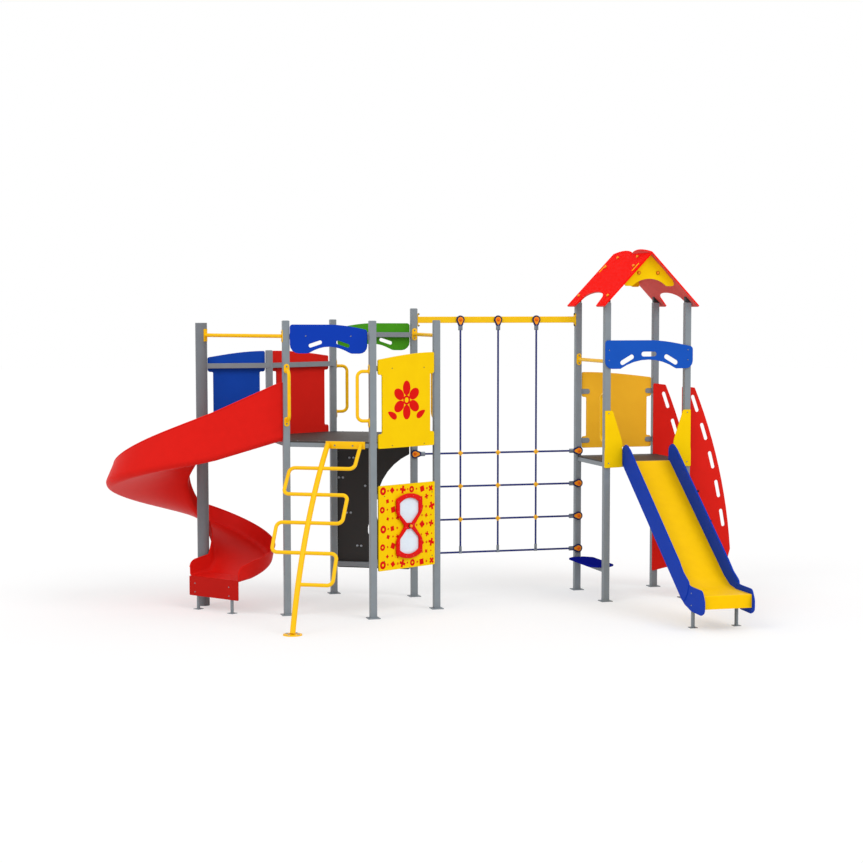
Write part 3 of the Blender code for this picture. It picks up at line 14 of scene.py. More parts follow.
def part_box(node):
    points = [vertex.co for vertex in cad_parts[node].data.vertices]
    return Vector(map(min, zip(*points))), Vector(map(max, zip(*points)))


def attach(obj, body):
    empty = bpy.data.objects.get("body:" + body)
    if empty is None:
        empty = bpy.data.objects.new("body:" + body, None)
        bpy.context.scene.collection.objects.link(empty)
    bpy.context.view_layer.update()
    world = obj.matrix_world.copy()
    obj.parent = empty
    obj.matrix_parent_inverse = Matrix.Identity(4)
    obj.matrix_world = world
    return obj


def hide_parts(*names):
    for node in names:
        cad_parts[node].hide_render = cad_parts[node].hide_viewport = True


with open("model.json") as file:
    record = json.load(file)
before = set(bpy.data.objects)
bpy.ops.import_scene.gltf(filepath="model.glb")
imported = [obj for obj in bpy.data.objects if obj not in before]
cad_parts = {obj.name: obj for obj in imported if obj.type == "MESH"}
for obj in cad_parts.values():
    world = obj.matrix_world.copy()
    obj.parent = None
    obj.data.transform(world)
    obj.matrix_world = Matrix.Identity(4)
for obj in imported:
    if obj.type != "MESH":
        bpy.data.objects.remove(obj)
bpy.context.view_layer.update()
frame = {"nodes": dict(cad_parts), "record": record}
slotOf = {part["node"]: part["material_slot"] for part in frame["record"]["subparts"]}
print("frame loaded,", len(frame["nodes"]), "nodes")

towers = {
    "shift": (-0.696, 0.618, 0.0),   # hexagon middle to the frame's origin
    "side": 0.80,                    # post to post
    "gap": 1.643,                    # between the towers, post to post
    "post": 0.060,
    "column": (-1.322, 0.391),
    "clear": 0.0003,                 # between pieces that touch
    "board": (0.0083, 0.013),        # a panel's back face and its thickness
}
shift = Vector(towers["shift"])
side = towers["side"]
halfPost = towers["post"] / 2
clear = towers["clear"]
panelBack = towers["board"][0]
panelFace = panelBack + towers["board"][1]
halfRoot = sqrt(3) / 2 * side
leftPosts = halfRoot + towers["gap"]
roofMiddle = leftPosts + side / 2
corners = {name: Vector((x, y, 0)) for name, x, y in (
    ("front", 0, -side), ("frontRight", halfRoot, -side / 2), ("right", halfRoot, side / 2),
    ("back", 0, side), ("left", -halfRoot, side / 2), ("frontLeft", -halfRoot, -side / 2),
    ("column", *towers["column"]),
    ("towerFrontLeft", leftPosts, -side / 2), ("towerFrontRight", leftPosts + side, -side / 2),
    ("towerBackLeft", leftPosts, side / 2), ("towerBackRight", leftPosts + side, side / 2))}


def addObject(name, data):
    made = bpy.data.objects.new(name, data)
    bpy.context.scene.collection.objects.link(made)
    return made


# camera, with the photograph's viewpoint

view = {"place": (-4.79012, -17.06064, 2.77078), "down": 4.735, "turn": -16.0095,
        "sensor": 36, "lens": 82.46, "shift": (-0.02665, 0.0430), "far": 200}
cameraData = bpy.data.cameras.new("camera")
cameraData.sensor_width = view["sensor"]
cameraData.lens = view["lens"]
cameraData.shift_x, cameraData.shift_y = view["shift"]
cameraData.clip_end = view["far"]
camera = addObject("camera", cameraData)
camera.location = view["place"]
camera.rotation_euler = (radians(90 - view["down"]), 0, radians(view["turn"]))
bpy.context.scene.camera = camera


# materials

def hexColour(text):
    # sRGB hex to linear
    channels = [int(text[i:i + 2], 16) / 255 for i in (1, 3, 5)]
    linear = [c / 12.92 if c <= 0.04045 else ((c + 0.055) / 1.055) ** 2.4 for c in channels]
    return (*linear, 1.0)


def addNode(tree, kind, settings=None, links=None):
    # settings are properties or socket values, links go from a socket name to (node, output)
    node = tree.nodes.new("ShaderNode" + kind)
    for key, value in (settings or {}).items():
        if isinstance(key, str) and hasattr(node, key):
            setattr(node, key, value)
        else:
            node.inputs[key].default_value = value
    for key, (source, output) in (links or {}).items():
        tree.links.new(source.outputs[output], node.inputs[key])
    return node


def newMaterial(name):
    material = bpy.data.materials.new(name)
    material.use_nodes = True
    material.node_tree.nodes.clear()
    return material, material.node_tree


def shade(colour, factor):
    return (*[min(1.0, c * factor) for c in colour[:3]], 1.0)


def finishOf(name, colour, patterns, tone, gloss, relief, skin):
    # patterns are textures in object space. tone, gloss and relief each name one of them: tone
    # with a darker and a lighter factor, gloss with two roughnesses, relief with strength and depth
    material, tree = newMaterial(name)
    place = addNode(tree, "TexCoord")
    texture = {key: addNode(tree, "TexWave" if "wave_type" in settings else "TexNoise", settings,
                            {"Vector": (place, "Object")}) for key, settings in patterns.items()}
    plain = hexColour(colour)
    links = {"Base Color": (addNode(
        tree, "Mix", {"data_type": "RGBA", 6: shade(plain, tone[1]), 7: shade(plain, tone[2])},
        {0: (texture[tone[0]], "Fac")}), 2)}
    if gloss:
        links["Roughness"] = (addNode(tree, "MapRange", {"To Min": gloss[1], "To Max": gloss[2]},
                                      {"Value": (texture[gloss[0]], "Fac")}), "Result")
    if relief:
        links["Normal"] = (addNode(tree, "Bump", {"Strength": relief[1], "Distance": relief[2]},
                                   {"Height": (texture[relief[0]], "Fac")}), "Normal")
    shader = addNode(tree, "BsdfPrincipled", skin, links)
    addNode(tree, "OutputMaterial", None, {"Surface": (shader, "BSDF")})
    return material


def coatedSteel(name, colour, roughness=0.42, peelDepth=0.12):
    # Powder coat baked on steel tube: a satin film with a faint orange peel of about 3 mm,
    # and broad, barely seen changes of tone
    return finishOf(
        name, colour, {"peel": {"Scale": 330, "Detail": 2}, "broad": {"Scale": 9, "Detail": 4}},
        ("broad", 0.90, 1.08), ("broad", roughness - 0.05, roughness + 0.08),
        ("peel", peelDepth, 0.0004), {"IOR": 1.5, "Specular IOR Level": 0.18})


def pressedBoard(name, colour, roughness=0.52, shine=0.04):
    # Polyethylene board pressed in one colour: a fine leathery grain, drawn at 4 mm so that it
    # shows, and a slightly waxy sheen that changes over a hand's width
    return finishOf(
        name, colour, {"grain": {"Scale": 250, "Detail": 3, "Roughness": 0.6},
                       "broad": {"Scale": 6, "Detail": 3}},
        ("broad", 0.93, 1.06), ("grain", roughness - 0.08, roughness + 0.10),
        ("grain", 0.25, 0.0004), {"IOR": 1.5, "Specular IOR Level": shine})


def mouldedPlastic(name, colour, roughness=0.34, waves=0.2, shine=0.18):
    # Moulded plastic: glossy, with the long shallow waves that the mould leaves
    return finishOf(
        name, colour, {"wave": {"Scale": 14, "Detail": 2}, "fine": {"Scale": 160, "Detail": 3}},
        ("wave", 0.94, 1.05), ("fine", roughness - 0.06, roughness + 0.08),
        ("wave", waves, 0.0012), {"IOR": 1.5, "Specular IOR Level": shine})


def grooveBoard(name, colour, pitch, strength):
    # Phenolic laminate with a pressed anti-slip rib: matt, nearly black, with parallel grooves.
    # The real pitch is about 5 mm, drawn wider so that it shows
    return finishOf(
        name, colour, {"ribs": {"wave_type": "BANDS", "bands_direction": "X",
                                "Scale": 0.314 / pitch, "Distortion": 0.0},
                       "dust": {"Scale": 22, "Detail": 6}},
        ("dust", 0.85, 1.25), ("dust", 0.50, 0.70), ("ribs", strength, 0.001),
        {"IOR": 1.5, "Specular IOR Level": 0.35})


def bareMetal(name, colour, roughness):
    # Zinc plated or cast metal: grey, dull, with a fine mottle of about 5 mm
    return finishOf(
        name, colour, {"mottle": {"Scale": 200, "Detail": 4}}, ("mottle", 0.85, 1.1),
        ("mottle", roughness - 0.08, roughness + 0.12), None, {"Metallic": 1.0})


def braidedRope(name, colour):
    # Polypropylene yarn braided over a steel core: matt, with short light and dark yarns of 4 mm
    return finishOf(
        name, colour, {"yarn": {"Scale": 240, "Detail": 4, "Roughness": 0.7}},
        ("yarn", 0.86, 1.14), None, ("yarn", 0.3, 0.0006),
        {"Roughness": 0.78, "Sheen Weight": 0.08, "Sheen Roughness": 0.4})


greySteel = coatedSteel("grey powder coated steel", "#878F95")
columnSteel = coatedSteel("dark grey powder coated steel", "#787D82")
yellowSteel = coatedSteel("yellow powder coated steel", "#FFC200", 0.36)
beamSteel = coatedSteel("yellow powder coated beam", "#FFC806", 0.45, 0.02)
slideSheet = mouldedPlastic("yellow slide sheet", "#FFC700", 0.36, 0.08, 0.06)
chutePlastic = mouldedPlastic("red moulded chute", "#DC1D16", 0.44, 0.15, 0.05)
spinnerPlastic = mouldedPlastic("red moulded frame", "#E20C08", 0.34, 0.1, 0.12)
screwPlastic = mouldedPlastic("red lacquered screws", "#E8605A", 0.4, 0.0)
collarPlastic = mouldedPlastic("dark red moulded collar", "#7A0E06", 0.4, 0.1)
orangePlastic = mouldedPlastic("orange moulded plastic", "#FF9A12")
darkOrangePlastic = mouldedPlastic("dark orange moulded plastic", "#F0640A")
capPlastic = mouldedPlastic("amber moulded caps", "#FF9A14")
# the seats under the roof caps are dark brown: a painted shadow round each cap
capShadowPlastic = mouldedPlastic("cap seats dark as painted shadow", "#B4560C")
clampPlastic = mouldedPlastic("yellow moulded clamps", "#F8B61E")
navyPlastic = mouldedPlastic("navy moulded plastic", "#1C2452", 0.4)
darkPlastic = mouldedPlastic("dark moulded plastic", "#2C2F33", 0.45)
panePlastic = mouldedPlastic("pale clear sheet", "#E6F2FF", 0.2, 0.05, 0.3)
deckBoard = grooveBoard("grooved deck laminate", "#37312C", 0.016, 0.55)
wallBoard = grooveBoard("smooth wall laminate", "#282726", 0.010, 0.08)
zincMetal = bareMetal("zinc plated steel", "#8E949A", 0.5)
brightMetal = bareMetal("bright zinc plated steel", "#B4BAC0", 0.55)
darkMetal = bareMetal("blackened steel screws", "#5C5A50", 0.55)
aluminiumMetal = bareMetal("pressed aluminium sleeves", "#7F8790", 0.5)
blueRope = braidedRope("blue braided rope", "#14246E")
redPrint = pressedBoard("red printed ink", "#E0160F", 0.5)
boards = {use: pressedBoard(name + " polyethylene board", colour, *more)
          for use, name, colour, *more in (
              # the amber board is the yellow panel drawn orange, as it looks in its shade: painted
              # shade
              ("yellow_board", "yellow", "#FFCF04"), ("amber_board", "amber", "#FFBE2E"),
              # the side panels' blue is the blue board made lighter and greener; the lightening is
              # painted light to offset the shade they stand in
              ("blue_board", "blue", "#103CB0"), ("side_panel_blue", "mid blue", "#1648B2"),
              ("tower_header_panel", "light blue", "#1A54BA"),
              ("navy_board", "navy", "#10188A", 0.6, 0.0), ("green_board", "green", "#4A9E20"),
              # the spiral exit panel is the chute's red made darker: painted shade where it turns
              # away from the light
              ("red_board", "red", "#DF2219"), ("spiral_exit_panel", "dark red", "#BC1C16"),
              ("roof_slope", "roof red", "#FF150C", 0.6, 0.015),
              # the roof underside red is paler and pinker than the slopes: a painted reflection of
              # grazing light
              ("roof_painted_reflection", "roof underside painted reflection", "#E4605B", 0.6, 0.03))}
holdPlastics = [mouldedPlastic("cast hold " + name, colour, 0.55, 0.6) for name, colour in (
    ("red", "#D8251E"), ("yellow", "#F6C112"), ("blue", "#2450B4"), ("green", "#4E9B26"))]
print("materials made")


# shared tools

def at(x, y, z=0.0):
    return Matrix.Translation((x, y, z))


def spot(x, y, z=0.0):
    return shift + Vector((x, y, z))


def turned(across, up, out, place):
    # A matrix from its three directions and its place
    matrix = Matrix((across, up, out)).transposed().to_4x4()
    matrix.translation = place
    return matrix


def sideFrame(first, last, outward=0.0, up=0.0):
    # X runs from one post to the next, Y up and Z out of the tower
    along = (corners[last] - corners[first]).normalized()
    out = Vector((along.y, -along.x, 0))
    return turned(along, (0, 0, 1), out,
                  shift + corners[first] + out * outward + Vector((0, 0, up)))


def faceFrame(point, way):
    # Z points along way, which is level, and Y is up
    way = way.normalized()
    return turned(Vector((0, 0, 1)).cross(way), (0, 0, 1), way, point)


def pick(geom, kind):
    return [g for g in geom if isinstance(g, kind)]


def edgesOf(verts):
    return list({e for v in verts for e in v.link_edges})


def facesOf(verts):
    return list({f for v in verts for f in v.link_faces})


def soften(form, edges, offset, segments=2, clamp=False):
    bmesh.ops.bevel(form, geom=edges, offset=offset, offset_type="OFFSET", segments=segments,
                    profile=0.5, affect="EDGES", clamp_overlap=clamp, material=-1)


def makePiece(name, form, finish, node=None, body="structure", sharp=35):
    # A piece that stands for a CAD node hides that node
    bmesh.ops.recalc_face_normals(form, faces=form.faces)
    mesh = bpy.data.meshes.new(name)
    form.to_mesh(mesh)
    form.free()
    mesh.materials.append(finish)
    mesh.shade_smooth()
    mesh.set_sharp_from_angle(angle=radians(sharp))
    piece = addObject(name, mesh)
    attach(piece, body)
    if node:
        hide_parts(node)
    return piece


def dress(node, finish, edge):
    # A merged copy of a CAD solid with its hard edges rounded
    form = bmesh.new()
    form.from_mesh(frame["nodes"][node].data)
    bmesh.ops.remove_doubles(form, verts=form.verts, dist=2e-5)
    bmesh.ops.dissolve_limit(form, angle_limit=radians(0.6), verts=form.verts, edges=form.edges)
    soften(form, [e for e in form.edges if e.is_manifold and e.calc_face_angle() > radians(50)],
           edge)
    piece = makePiece(node + "_dressed", form, finish, node, sharp=50)
    piece.modifiers.new("even shading", "WEIGHTED_NORMAL").keep_sharp = True
    return piece


def roundedPath(points, radius, step=radians(9), count=None):
    # The path with its inner corners rounded, by one radius or by one for each corner
    line = [Vector(points[0])]
    radii = radius if isinstance(radius, list) else [radius] * (len(points) - 2)
    for before, here, after, wanted in zip(points, points[1:], points[2:], radii):
        before, here, after = Vector(before), Vector(here), Vector(after)
        back, ahead = before - here, after - here
        half = back.angle(ahead) / 2
        if half > radians(89) or wanted == 0:
            line.append(here)
            continue
        reach = min(wanted / tan(half), 0.49 * back.length, 0.49 * ahead.length)
        bend = reach * tan(half)
        middle = here + (back.normalized() + ahead.normalized()).normalized() * bend / sin(half)
        start = here + back.normalized() * reach - middle
        end = here + ahead.normalized() * reach - middle
        across = (end - start * (end.dot(start) / start.length_squared)).normalized() * bend
        sweep = pi - 2 * half
        steps = count or max(2, round(sweep / step))
        line += [middle + start * cos(sweep * i / steps) + across * sin(sweep * i / steps)
                 for i in range(steps + 1)]
    return line + [Vector(points[-1])]


def closedLoop(points):
    # A closed flat loop; each point is x, y and the radius of its corner
    spots = [Vector((x, y, 0)) for x, y, _ in points]
    middle = (spots[-1] + spots[0]) / 2
    line = roundedPath([middle, *spots, middle], [r for _, _, r in points], radians(6))
    return [(p.x, p.y) for p in line[:-1]]


def sweepTube(form, path, radius, segments=20, matrix=None):
    # A circle is extruded from point to point, turned to face along the path
    path = [(matrix @ Vector(p)) if matrix else Vector(p) for p in path]
    way = (path[1] - path[0]).normalized()
    start = Matrix.Translation(path[0]) @ way.to_track_quat("Z", "Y").to_matrix().to_4x4()
    ring = bmesh.ops.create_circle(form, segments=segments, radius=radius, matrix=start)["verts"]
    loop = edgesOf(ring)
    ends = [loop]
    for i in range(1, len(path)):
        ahead = (path[i + 1] - path[i - 1]) if i + 1 < len(path) else (path[i] - path[i - 1])
        ahead.normalize()
        made = bmesh.ops.extrude_edge_only(form, edges=loop)["geom"]
        ring = pick(made, BMVert)
        loop = [e for e in pick(made, BMEdge) if all(v in ring for v in e.verts)]
        turn = way.rotation_difference(ahead).to_matrix().to_4x4()
        bmesh.ops.transform(form, verts=ring, matrix=Matrix.Translation(path[i]) @ turn
                            @ Matrix.Translation(-path[i - 1]))
        way = ahead
    for edges in (*ends, loop):
        bmesh.ops.edgeloop_fill(form, edges=edges)


def addDisc(form, radius, segments=28):
    return bmesh.ops.create_circle(form, cap_ends=True, segments=segments, radius=radius)["verts"]


def raiseFaces(form, faces, height):
    # The faces are drawn out along Z, and the new vertices given back
    raised = pick(bmesh.ops.extrude_face_region(form, geom=faces)["geom"], BMVert)
    bmesh.ops.translate(form, verts=raised, vec=(0, 0, height))
    return raised


def addPlate(form, matrix, width, height, thickness, edge=0.0012):
    # A plate with round ends: a disc drawn out along Y, then thickened and softened
    disc = addDisc(form, width / 2, 24)
    for v in disc:
        v.co.y += (1 if v.co.y > 0 else -1) * (height - width) / 2
    raised = raiseFaces(form, facesOf(disc), thickness)
    rim = [e for e in edgesOf(raised) if all(v in raised for v in e.verts)]
    bmesh.ops.transform(form, verts=list(disc) + raised, matrix=matrix)
    soften(form, rim, edge)


def addCone(form, matrix, low, high, depth, segments):
    # A cone or a cylinder that stands on its matrix
    return bmesh.ops.create_cone(
        form, cap_ends=True, segments=segments, radius1=low, radius2=high, depth=depth,
        matrix=matrix @ at(0, 0, depth / 2))["verts"]


def addHead(form, matrix, radius=0.008, height=0.0045):
    # A round bolt head with a socket; Z of the matrix leaves the face
    made = addCone(form, matrix, radius, radius * 0.75, height, 12)
    out = matrix.to_3x3() @ Vector((0, 0, 1))
    top = max(facesOf(made), key=lambda f: f.calc_center_median().dot(out))
    bmesh.ops.inset_individual(form, faces=[top], thickness=radius * 0.3, depth=0)
    bmesh.ops.translate(form, verts=top.verts, vec=out * -height * 0.5)


def addDome(form, matrix, radius, height, segments=20):
    # A domed cap: a flattened ball cut at the face
    made = bmesh.ops.create_uvsphere(
        form, u_segments=segments, v_segments=segments // 2, radius=1.0,
        matrix=matrix @ Matrix.Diagonal((radius, radius, height, 1)))["verts"]
    cut = bmesh.ops.bisect_plane(
        form, geom=[*made, *edgesOf(made), *facesOf(made)], dist=1e-6, clear_inner=True,
        plane_co=matrix.translation, plane_no=matrix.to_3x3() @ Vector((0, 0, 1)))
    bmesh.ops.edgeloop_fill(form, edges=pick(cut["geom_cut"], BMEdge))


def addBlock(form, matrix, size, edge=0.0015, segments=2):
    made = bmesh.ops.create_cube(form, size=1, matrix=matrix @ Matrix.Diagonal((*size, 1)))["verts"]
    soften(form, edgesOf(made), edge, segments, True)


def addSleeve(form, matrix, radius, length):
    # A pressed sleeve: a cylinder with softened ends, along Z from its matrix
    made = addCone(form, matrix, radius, radius, length, 24)
    flat = [f for f in facesOf(made) if len(f.verts) > 4]
    soften(form, list({e for f in flat for e in f.edges}), radius * 0.25, 3)


# boards and steel that keep the shape of their CAD solids

edges = {"grey_steel": 0.0015, "yellow_steel": 0.003, "yellow_bed": 0.0008, "board": 0.002}
# finishes by node or by slot; the nodes of other slots are modelled further down
dressing = {**boards, "grey_steel": greySteel, "net_beam": beamSteel, "charcoal_board": deckBoard,
            "climbing_wall": wallBoard, "yellow_bed": slideSheet,
            "roof_slope_left": boards["roof_slope"], "roof_slope_right": boards["roof_slope"]}
keptNodes = {"slide_column": columnSteel, "straight_slide_leg_frame": greySteel,
             "spiral_leg_frame": greySteel}
for node, slotName in slotOf.items():
    finish = dressing.get(node, dressing.get(slotName))
    if node in keptNodes:
        slots = frame["nodes"][node].data.materials
        slots.clear()
        slots.append(keptNodes[node])
    elif finish:
        piece = dress(node, finish, edges.get(slotName, edges["board"]))
        if finish is boards["roof_slope"]:
            # the underside has its own material, a paler and pinker red: a painted reflection of
            # the light that grazes it
            piece.data.materials.append(boards["roof_painted_reflection"])
            for face in piece.data.polygons:
                face.material_index = int(face.normal.z < -0.3)
print("boards and posts dressed")


# spiral chute, from sections that ease into each other, with a rolled rim

chute = {
    # turn, bed, outer crease, outer rim, its height, inner crease, inner rim, its height
    "rows": ((0, 1.405, 0.800, 0.790, 1.835, 0.095, 0.090, 1.620),
             (45, 1.285, 0.850, 0.785, 1.595, 0.105, 0.100, 1.440),
             (90, 1.118, 0.900, 0.800, 1.345, 0.140, 0.130, 1.260),
             (140, 0.915, 0.800, 0.760, 1.090, 0.130, 0.120, 1.050),
             (190, 0.735, 0.650, 0.700, 0.875, 0.115, 0.105, 0.890),
             (235, 0.550, 0.610, 0.655, 0.700, 0.105, 0.095, 0.740),
             (275, 0.425, 0.620, 0.652, 0.575, 0.095, 0.085, 0.630),
             (324, 0.306, 0.630, 0.652, 0.470, 0.080, 0.072, 0.480)),
    "entry": (1.562, 0.790, 0.790, 2.080, 0.090, 0.085, 1.880),
    "exit": (0.296, 0.640, 0.646, 0.425, 0.042, 0.039, 0.442),
    "crease": 0.050, "exitCrease": 0.022, "innerLift": 0.012,
    "level": 0.030, "reach": 0.208, "round": 0.066,     # the straight run and its rounded lip
    "lipEnd": 0.9, "skin": 0.008, "rim": 0.0075, "rimDrop": 0.002,
    "step": 3, "entrySteps": 14, "exitSteps": 6,
}


def easedSection(turn):
    rows = chute["rows"]
    index = max(i for i, row in enumerate(rows[:-1]) if row[0] <= turn)
    before, start, end = rows[max(index - 1, 0)], rows[index], rows[index + 1]
    after = rows[min(index + 2, len(rows) - 1)]
    span = end[0] - start[0]
    t = (turn - start[0]) / span
    return [(2 * t ** 3 - 3 * t ** 2 + 1) * b + (3 * t ** 2 - 2 * t ** 3) * c
            + (t ** 3 - 2 * t ** 2 + t) * (c - a) / (end[0] - before[0]) * span
            + (t ** 3 - t ** 2) * (d - b) / (after[0] - start[0]) * span
            for a, b, c, d in zip(before[1:], start[1:], end[1:], after[1:])]


def between(first, last, t):
    return [a + (b - a) * t for a, b in zip(first, last)]


def chuteStations():
    middle, out = shift + corners["column"], Vector((0, -1, 0))
    run = -halfRoot - halfPost - 2 * clear - corners["column"].x
    stations = [(middle + Vector((run, 0, 0)), out, chute["entry"], chute["crease"])]
    for i in range(chute["entrySteps"]):
        t = i / chute["entrySteps"]
        stations.append((middle + Vector(((run - chute["level"]) * (1 - t), 0, 0)), out,
                         between(chute["entry"], easedSection(0), t), chute["crease"]))
    for turn in range(0, chute["rows"][-1][0] + 1, chute["step"]):
        angle = -pi / 2 - radians(turn)
        out = Vector((cos(angle), sin(angle), 0))
        stations.append((middle, out, easedSection(turn), chute["crease"]))
    ahead = Vector((out.y, -out.x, 0))
    last, corner = stations[-1][2], chute["round"]
    straight = chute["reach"] - corner
    places = [straight * i / chute["exitSteps"] for i in range(1, chute["exitSteps"])]
    places += [chute["reach"] - corner * cos(radians(a)) for a in range(0, 91, 10)]
    for place in places:
        t = min(1, place / (chute["reach"] - chute["level"]))
        values = between(last, chute["exit"], t)
        deep = max(0, place - straight)
        drop = corner - sqrt(corner ** 2 - deep ** 2) if deep < corner else corner * chute["lipEnd"]
        values[3] -= drop
        values[6] -= drop
        stations.append((middle + ahead * place, out, values,
                         chute["crease"] + (chute["exitCrease"] - chute["crease"]) * t))
    return stations


def chuteSection(values, bend):
    # Radius and height from the inner rim over the bed to the outer rim
    bed, crease, rim, rimHeight, innerCrease, innerRim, innerHeight = values
    line = roundedPath([(innerRim, innerHeight, 0), (innerCrease, bed + chute["innerLift"], 0),
                        (crease, bed, 0), (rim, rimHeight, 0)], bend, count=8)
    full = []
    for i, (a, b) in enumerate(zip(line, line[1:])):
        pieces = {0: 4, 9: 8, 18: 6}.get(i, 1)   # inner wall, bed, outer wall
        full += [a.lerp(b, k / pieces) for k in range(pieces)]
    return full + [line[-1]]


stations = chuteStations()
rows = [[origin + out * p.x + Vector((0, 0, p.y)) for p in chuteSection(values, bend)]
        for origin, out, values, bend in stations]
form = bmesh.new()
made = bmesh.ops.create_grid(form, x_segments=len(rows) - 1, y_segments=len(rows[0]) - 1,
                             size=1)["verts"]
for index, vert in enumerate(sorted(made, key=lambda v: (round(v.co.x, 5), round(v.co.y, 5)))):
    vert.co = rows[index // len(rows[0])][index % len(rows[0])]
bmesh.ops.recalc_face_normals(form, faces=form.faces)
upward = sum(f.normal.z * f.calc_area() for f in form.faces) > 0
bmesh.ops.solidify(form, geom=form.faces, thickness=chute["skin"] if upward else -chute["skin"])
for end, inner, facing in ((0, 1, 1), (-1, -2, -1)):
    rim = [row[end] - (row[end] - row[inner]).normalized() * chute["rimDrop"] for row in rows]
    away = [(station[0] - point).to_2d().normalized().to_3d() * facing
            for station, point in zip(stations, rim)]
    sweepTube(form, [p + a * chute["skin"] / 2 for p, a in zip(rim, away)], chute["rim"], 12)
makePiece("spiral_chute_smooth", form, chutePlastic, "spiral_chute", sharp=50)
print("chute")


# handles and guard bars

handle = {"radius": 0.015, "bulge": 0.107, "height": 0.435, "bend": 0.065, "plate": (0.050, 0.085),
          "plateShift": 0.018, "bolt": 0.018, "thick": 0.006, "weld": (0.003, 0.004, 0.001),
          "level": 1.9725, "towerLevel": 1.722}
bolts = bmesh.new()
for node, corner, way in (
        ("handle_front_left", "frontLeft", (0, -1, 0)), ("handle_front", "front", (-1, 0, 0)),
        ("handle_back", "back", (1, 0, 0)), ("handle_front_right", "frontRight", (0, 1, 0)),
        ("handle_tower", "towerFrontLeft", (0, 1, 0))):
    way = Vector(way)
    level = handle["towerLevel" if node == "handle_tower" else "level"]
    matrix = faceFrame(spot(0, 0, level) + corners[corner] + way * (halfPost + clear), way)
    half, inside = handle["height"] / 2, handle["thick"] / 2
    form = bmesh.new()
    line = roundedPath([(0, -half, inside), (0, -half, handle["bulge"]),
                        (0, half, handle["bulge"]), (0, half, inside)], handle["bend"])
    sweepTube(form, line, handle["radius"], 20, matrix)
    wider, deep, sunk = handle["weld"]
    for end in (-1, 1):
        middle = end * (half + handle["plateShift"])
        addPlate(form, matrix @ at(0, middle), *handle["plate"], handle["thick"])
        addCone(form, matrix @ at(0, end * half, handle["thick"] - sunk),
                handle["radius"] + wider, handle["radius"], deep, 20)
        addHead(bolts, matrix @ at(0, middle + end * handle["bolt"], handle["thick"]))
    makePiece(node + "_tube", form, yellowSteel, node)

guard = {"radius": 0.017, "plate": (0.050, 0.113), "thick": 0.006, "bolt": 0.036, "sink": 0.002,
         "level": 2.495, "towerLevel": 2.247,
         "saddle": 0.0605, "saddleSkin": 0.005, "saddleSpread": 0.90, "saddleStart": 0.055}
for node, first, last, level in (
        ("guard_bar_right", "right", "frontRight", guard["level"]),
        ("guard_bar_tower", "towerBackLeft", "towerFrontLeft", guard["towerLevel"]),
        ("guard_bar_left", "column", "frontLeft", guard["level"])):
    saddled = first == "column"
    up = Vector((0, 0, level)) + shift
    start, finish = corners[first] + up, corners[last] + up
    if saddled:
        finish.x -= halfPost + clear
    way = (finish - start).normalized()
    begin = start + way * (guard["saddleStart"] if saddled else halfPost + clear)
    if not saddled:
        finish -= way * (halfPost + clear)
    endWay = Vector((-1, 0, 0)) if saddled else -way
    form = bmesh.new()
    sink = way * guard["sink"]
    sweepTube(form, [begin + sink, finish - sink], guard["radius"], 24)
    if saddled:
        # the saddle is a strip of the column's own round
        saddle = bmesh.ops.create_cone(form, cap_ends=False, segments=48, radius1=guard["saddle"],
                                       radius2=guard["saddle"], depth=guard["plate"][1],
                                       matrix=Matrix.Translation(start))["verts"]
        spare = [v for v in saddle
                 if (v.co - start).to_2d().normalized().dot(way.to_2d()) < guard["saddleSpread"]]
        bmesh.ops.delete(form, geom=spare, context="VERTS")
        shell = [f for f in form.faces if all(
            abs((v.co - start).to_2d().length - guard["saddle"]) < 0.001 for v in f.verts)]
        bmesh.ops.solidify(form, geom=shell, thickness=guard["saddleSkin"])
    else:
        addPlate(form, faceFrame(begin, way), *guard["plate"], guard["thick"])
    addPlate(form, faceFrame(finish, endWay), *guard["plate"], guard["thick"])
    for face, faceWay in (((finish, endWay),) if saddled else ((begin, way), (finish, endWay))):
        for height in (-guard["bolt"], guard["bolt"]):
            addHead(bolts, faceFrame(face, faceWay) @ at(0, height, guard["thick"]))
    makePiece(node + "_tube", form, yellowSteel, node)
print("handles and guard bars")


# ladder: a bowed pole with one tube that winds down it as rungs

ladder = {"pole": 0.024, "along": 0.392, "top": (0.020, 1.540), "foot": (1.020, 0.012),
          "bow": 0.125, "poleSteps": 40, "tube": 0.0165, "reach": (0.110, 0.697), "bend": 0.050,
          "rungs": 5, "first": 0.282, "pitch": 0.285, "tubeStep": 0.03,
          "plate": (0.370, 0.734, 1.504, 1.570), "plateMiddle": 0.0123,
          "plateThick": 0.008, "plateEdge": 0.003,
          "plateBolts": (0.455, 0.620), "boltLevel": 1.533,
          "disc": (0.082, 0.080, 0.010), "footBolts": 0.060, "footHead": (0.010, 0.006)}
ladderFrame = sideFrame("frontLeft", "front")
top, foot = Vector(ladder["top"]), Vector(ladder["foot"])
chord = foot - top
bowRadius = ((chord.length / 2) ** 2 + ladder["bow"] ** 2) / (2 * ladder["bow"])
bowMiddle = ((top + foot) / 2
             + Vector((-chord.y, chord.x)).normalized() * (ladder["bow"] - bowRadius))
firstAngle = atan2(top.y - bowMiddle.y, top.x - bowMiddle.x)
poleLength = (firstAngle - atan2(foot.y - bowMiddle.y, foot.x - bowMiddle.x)) * bowRadius


def onPole(along, distance):
    angle = firstAngle - distance / bowRadius
    return Vector((along, bowMiddle.y + bowRadius * sin(angle),
                   bowMiddle.x + bowRadius * cos(angle)))


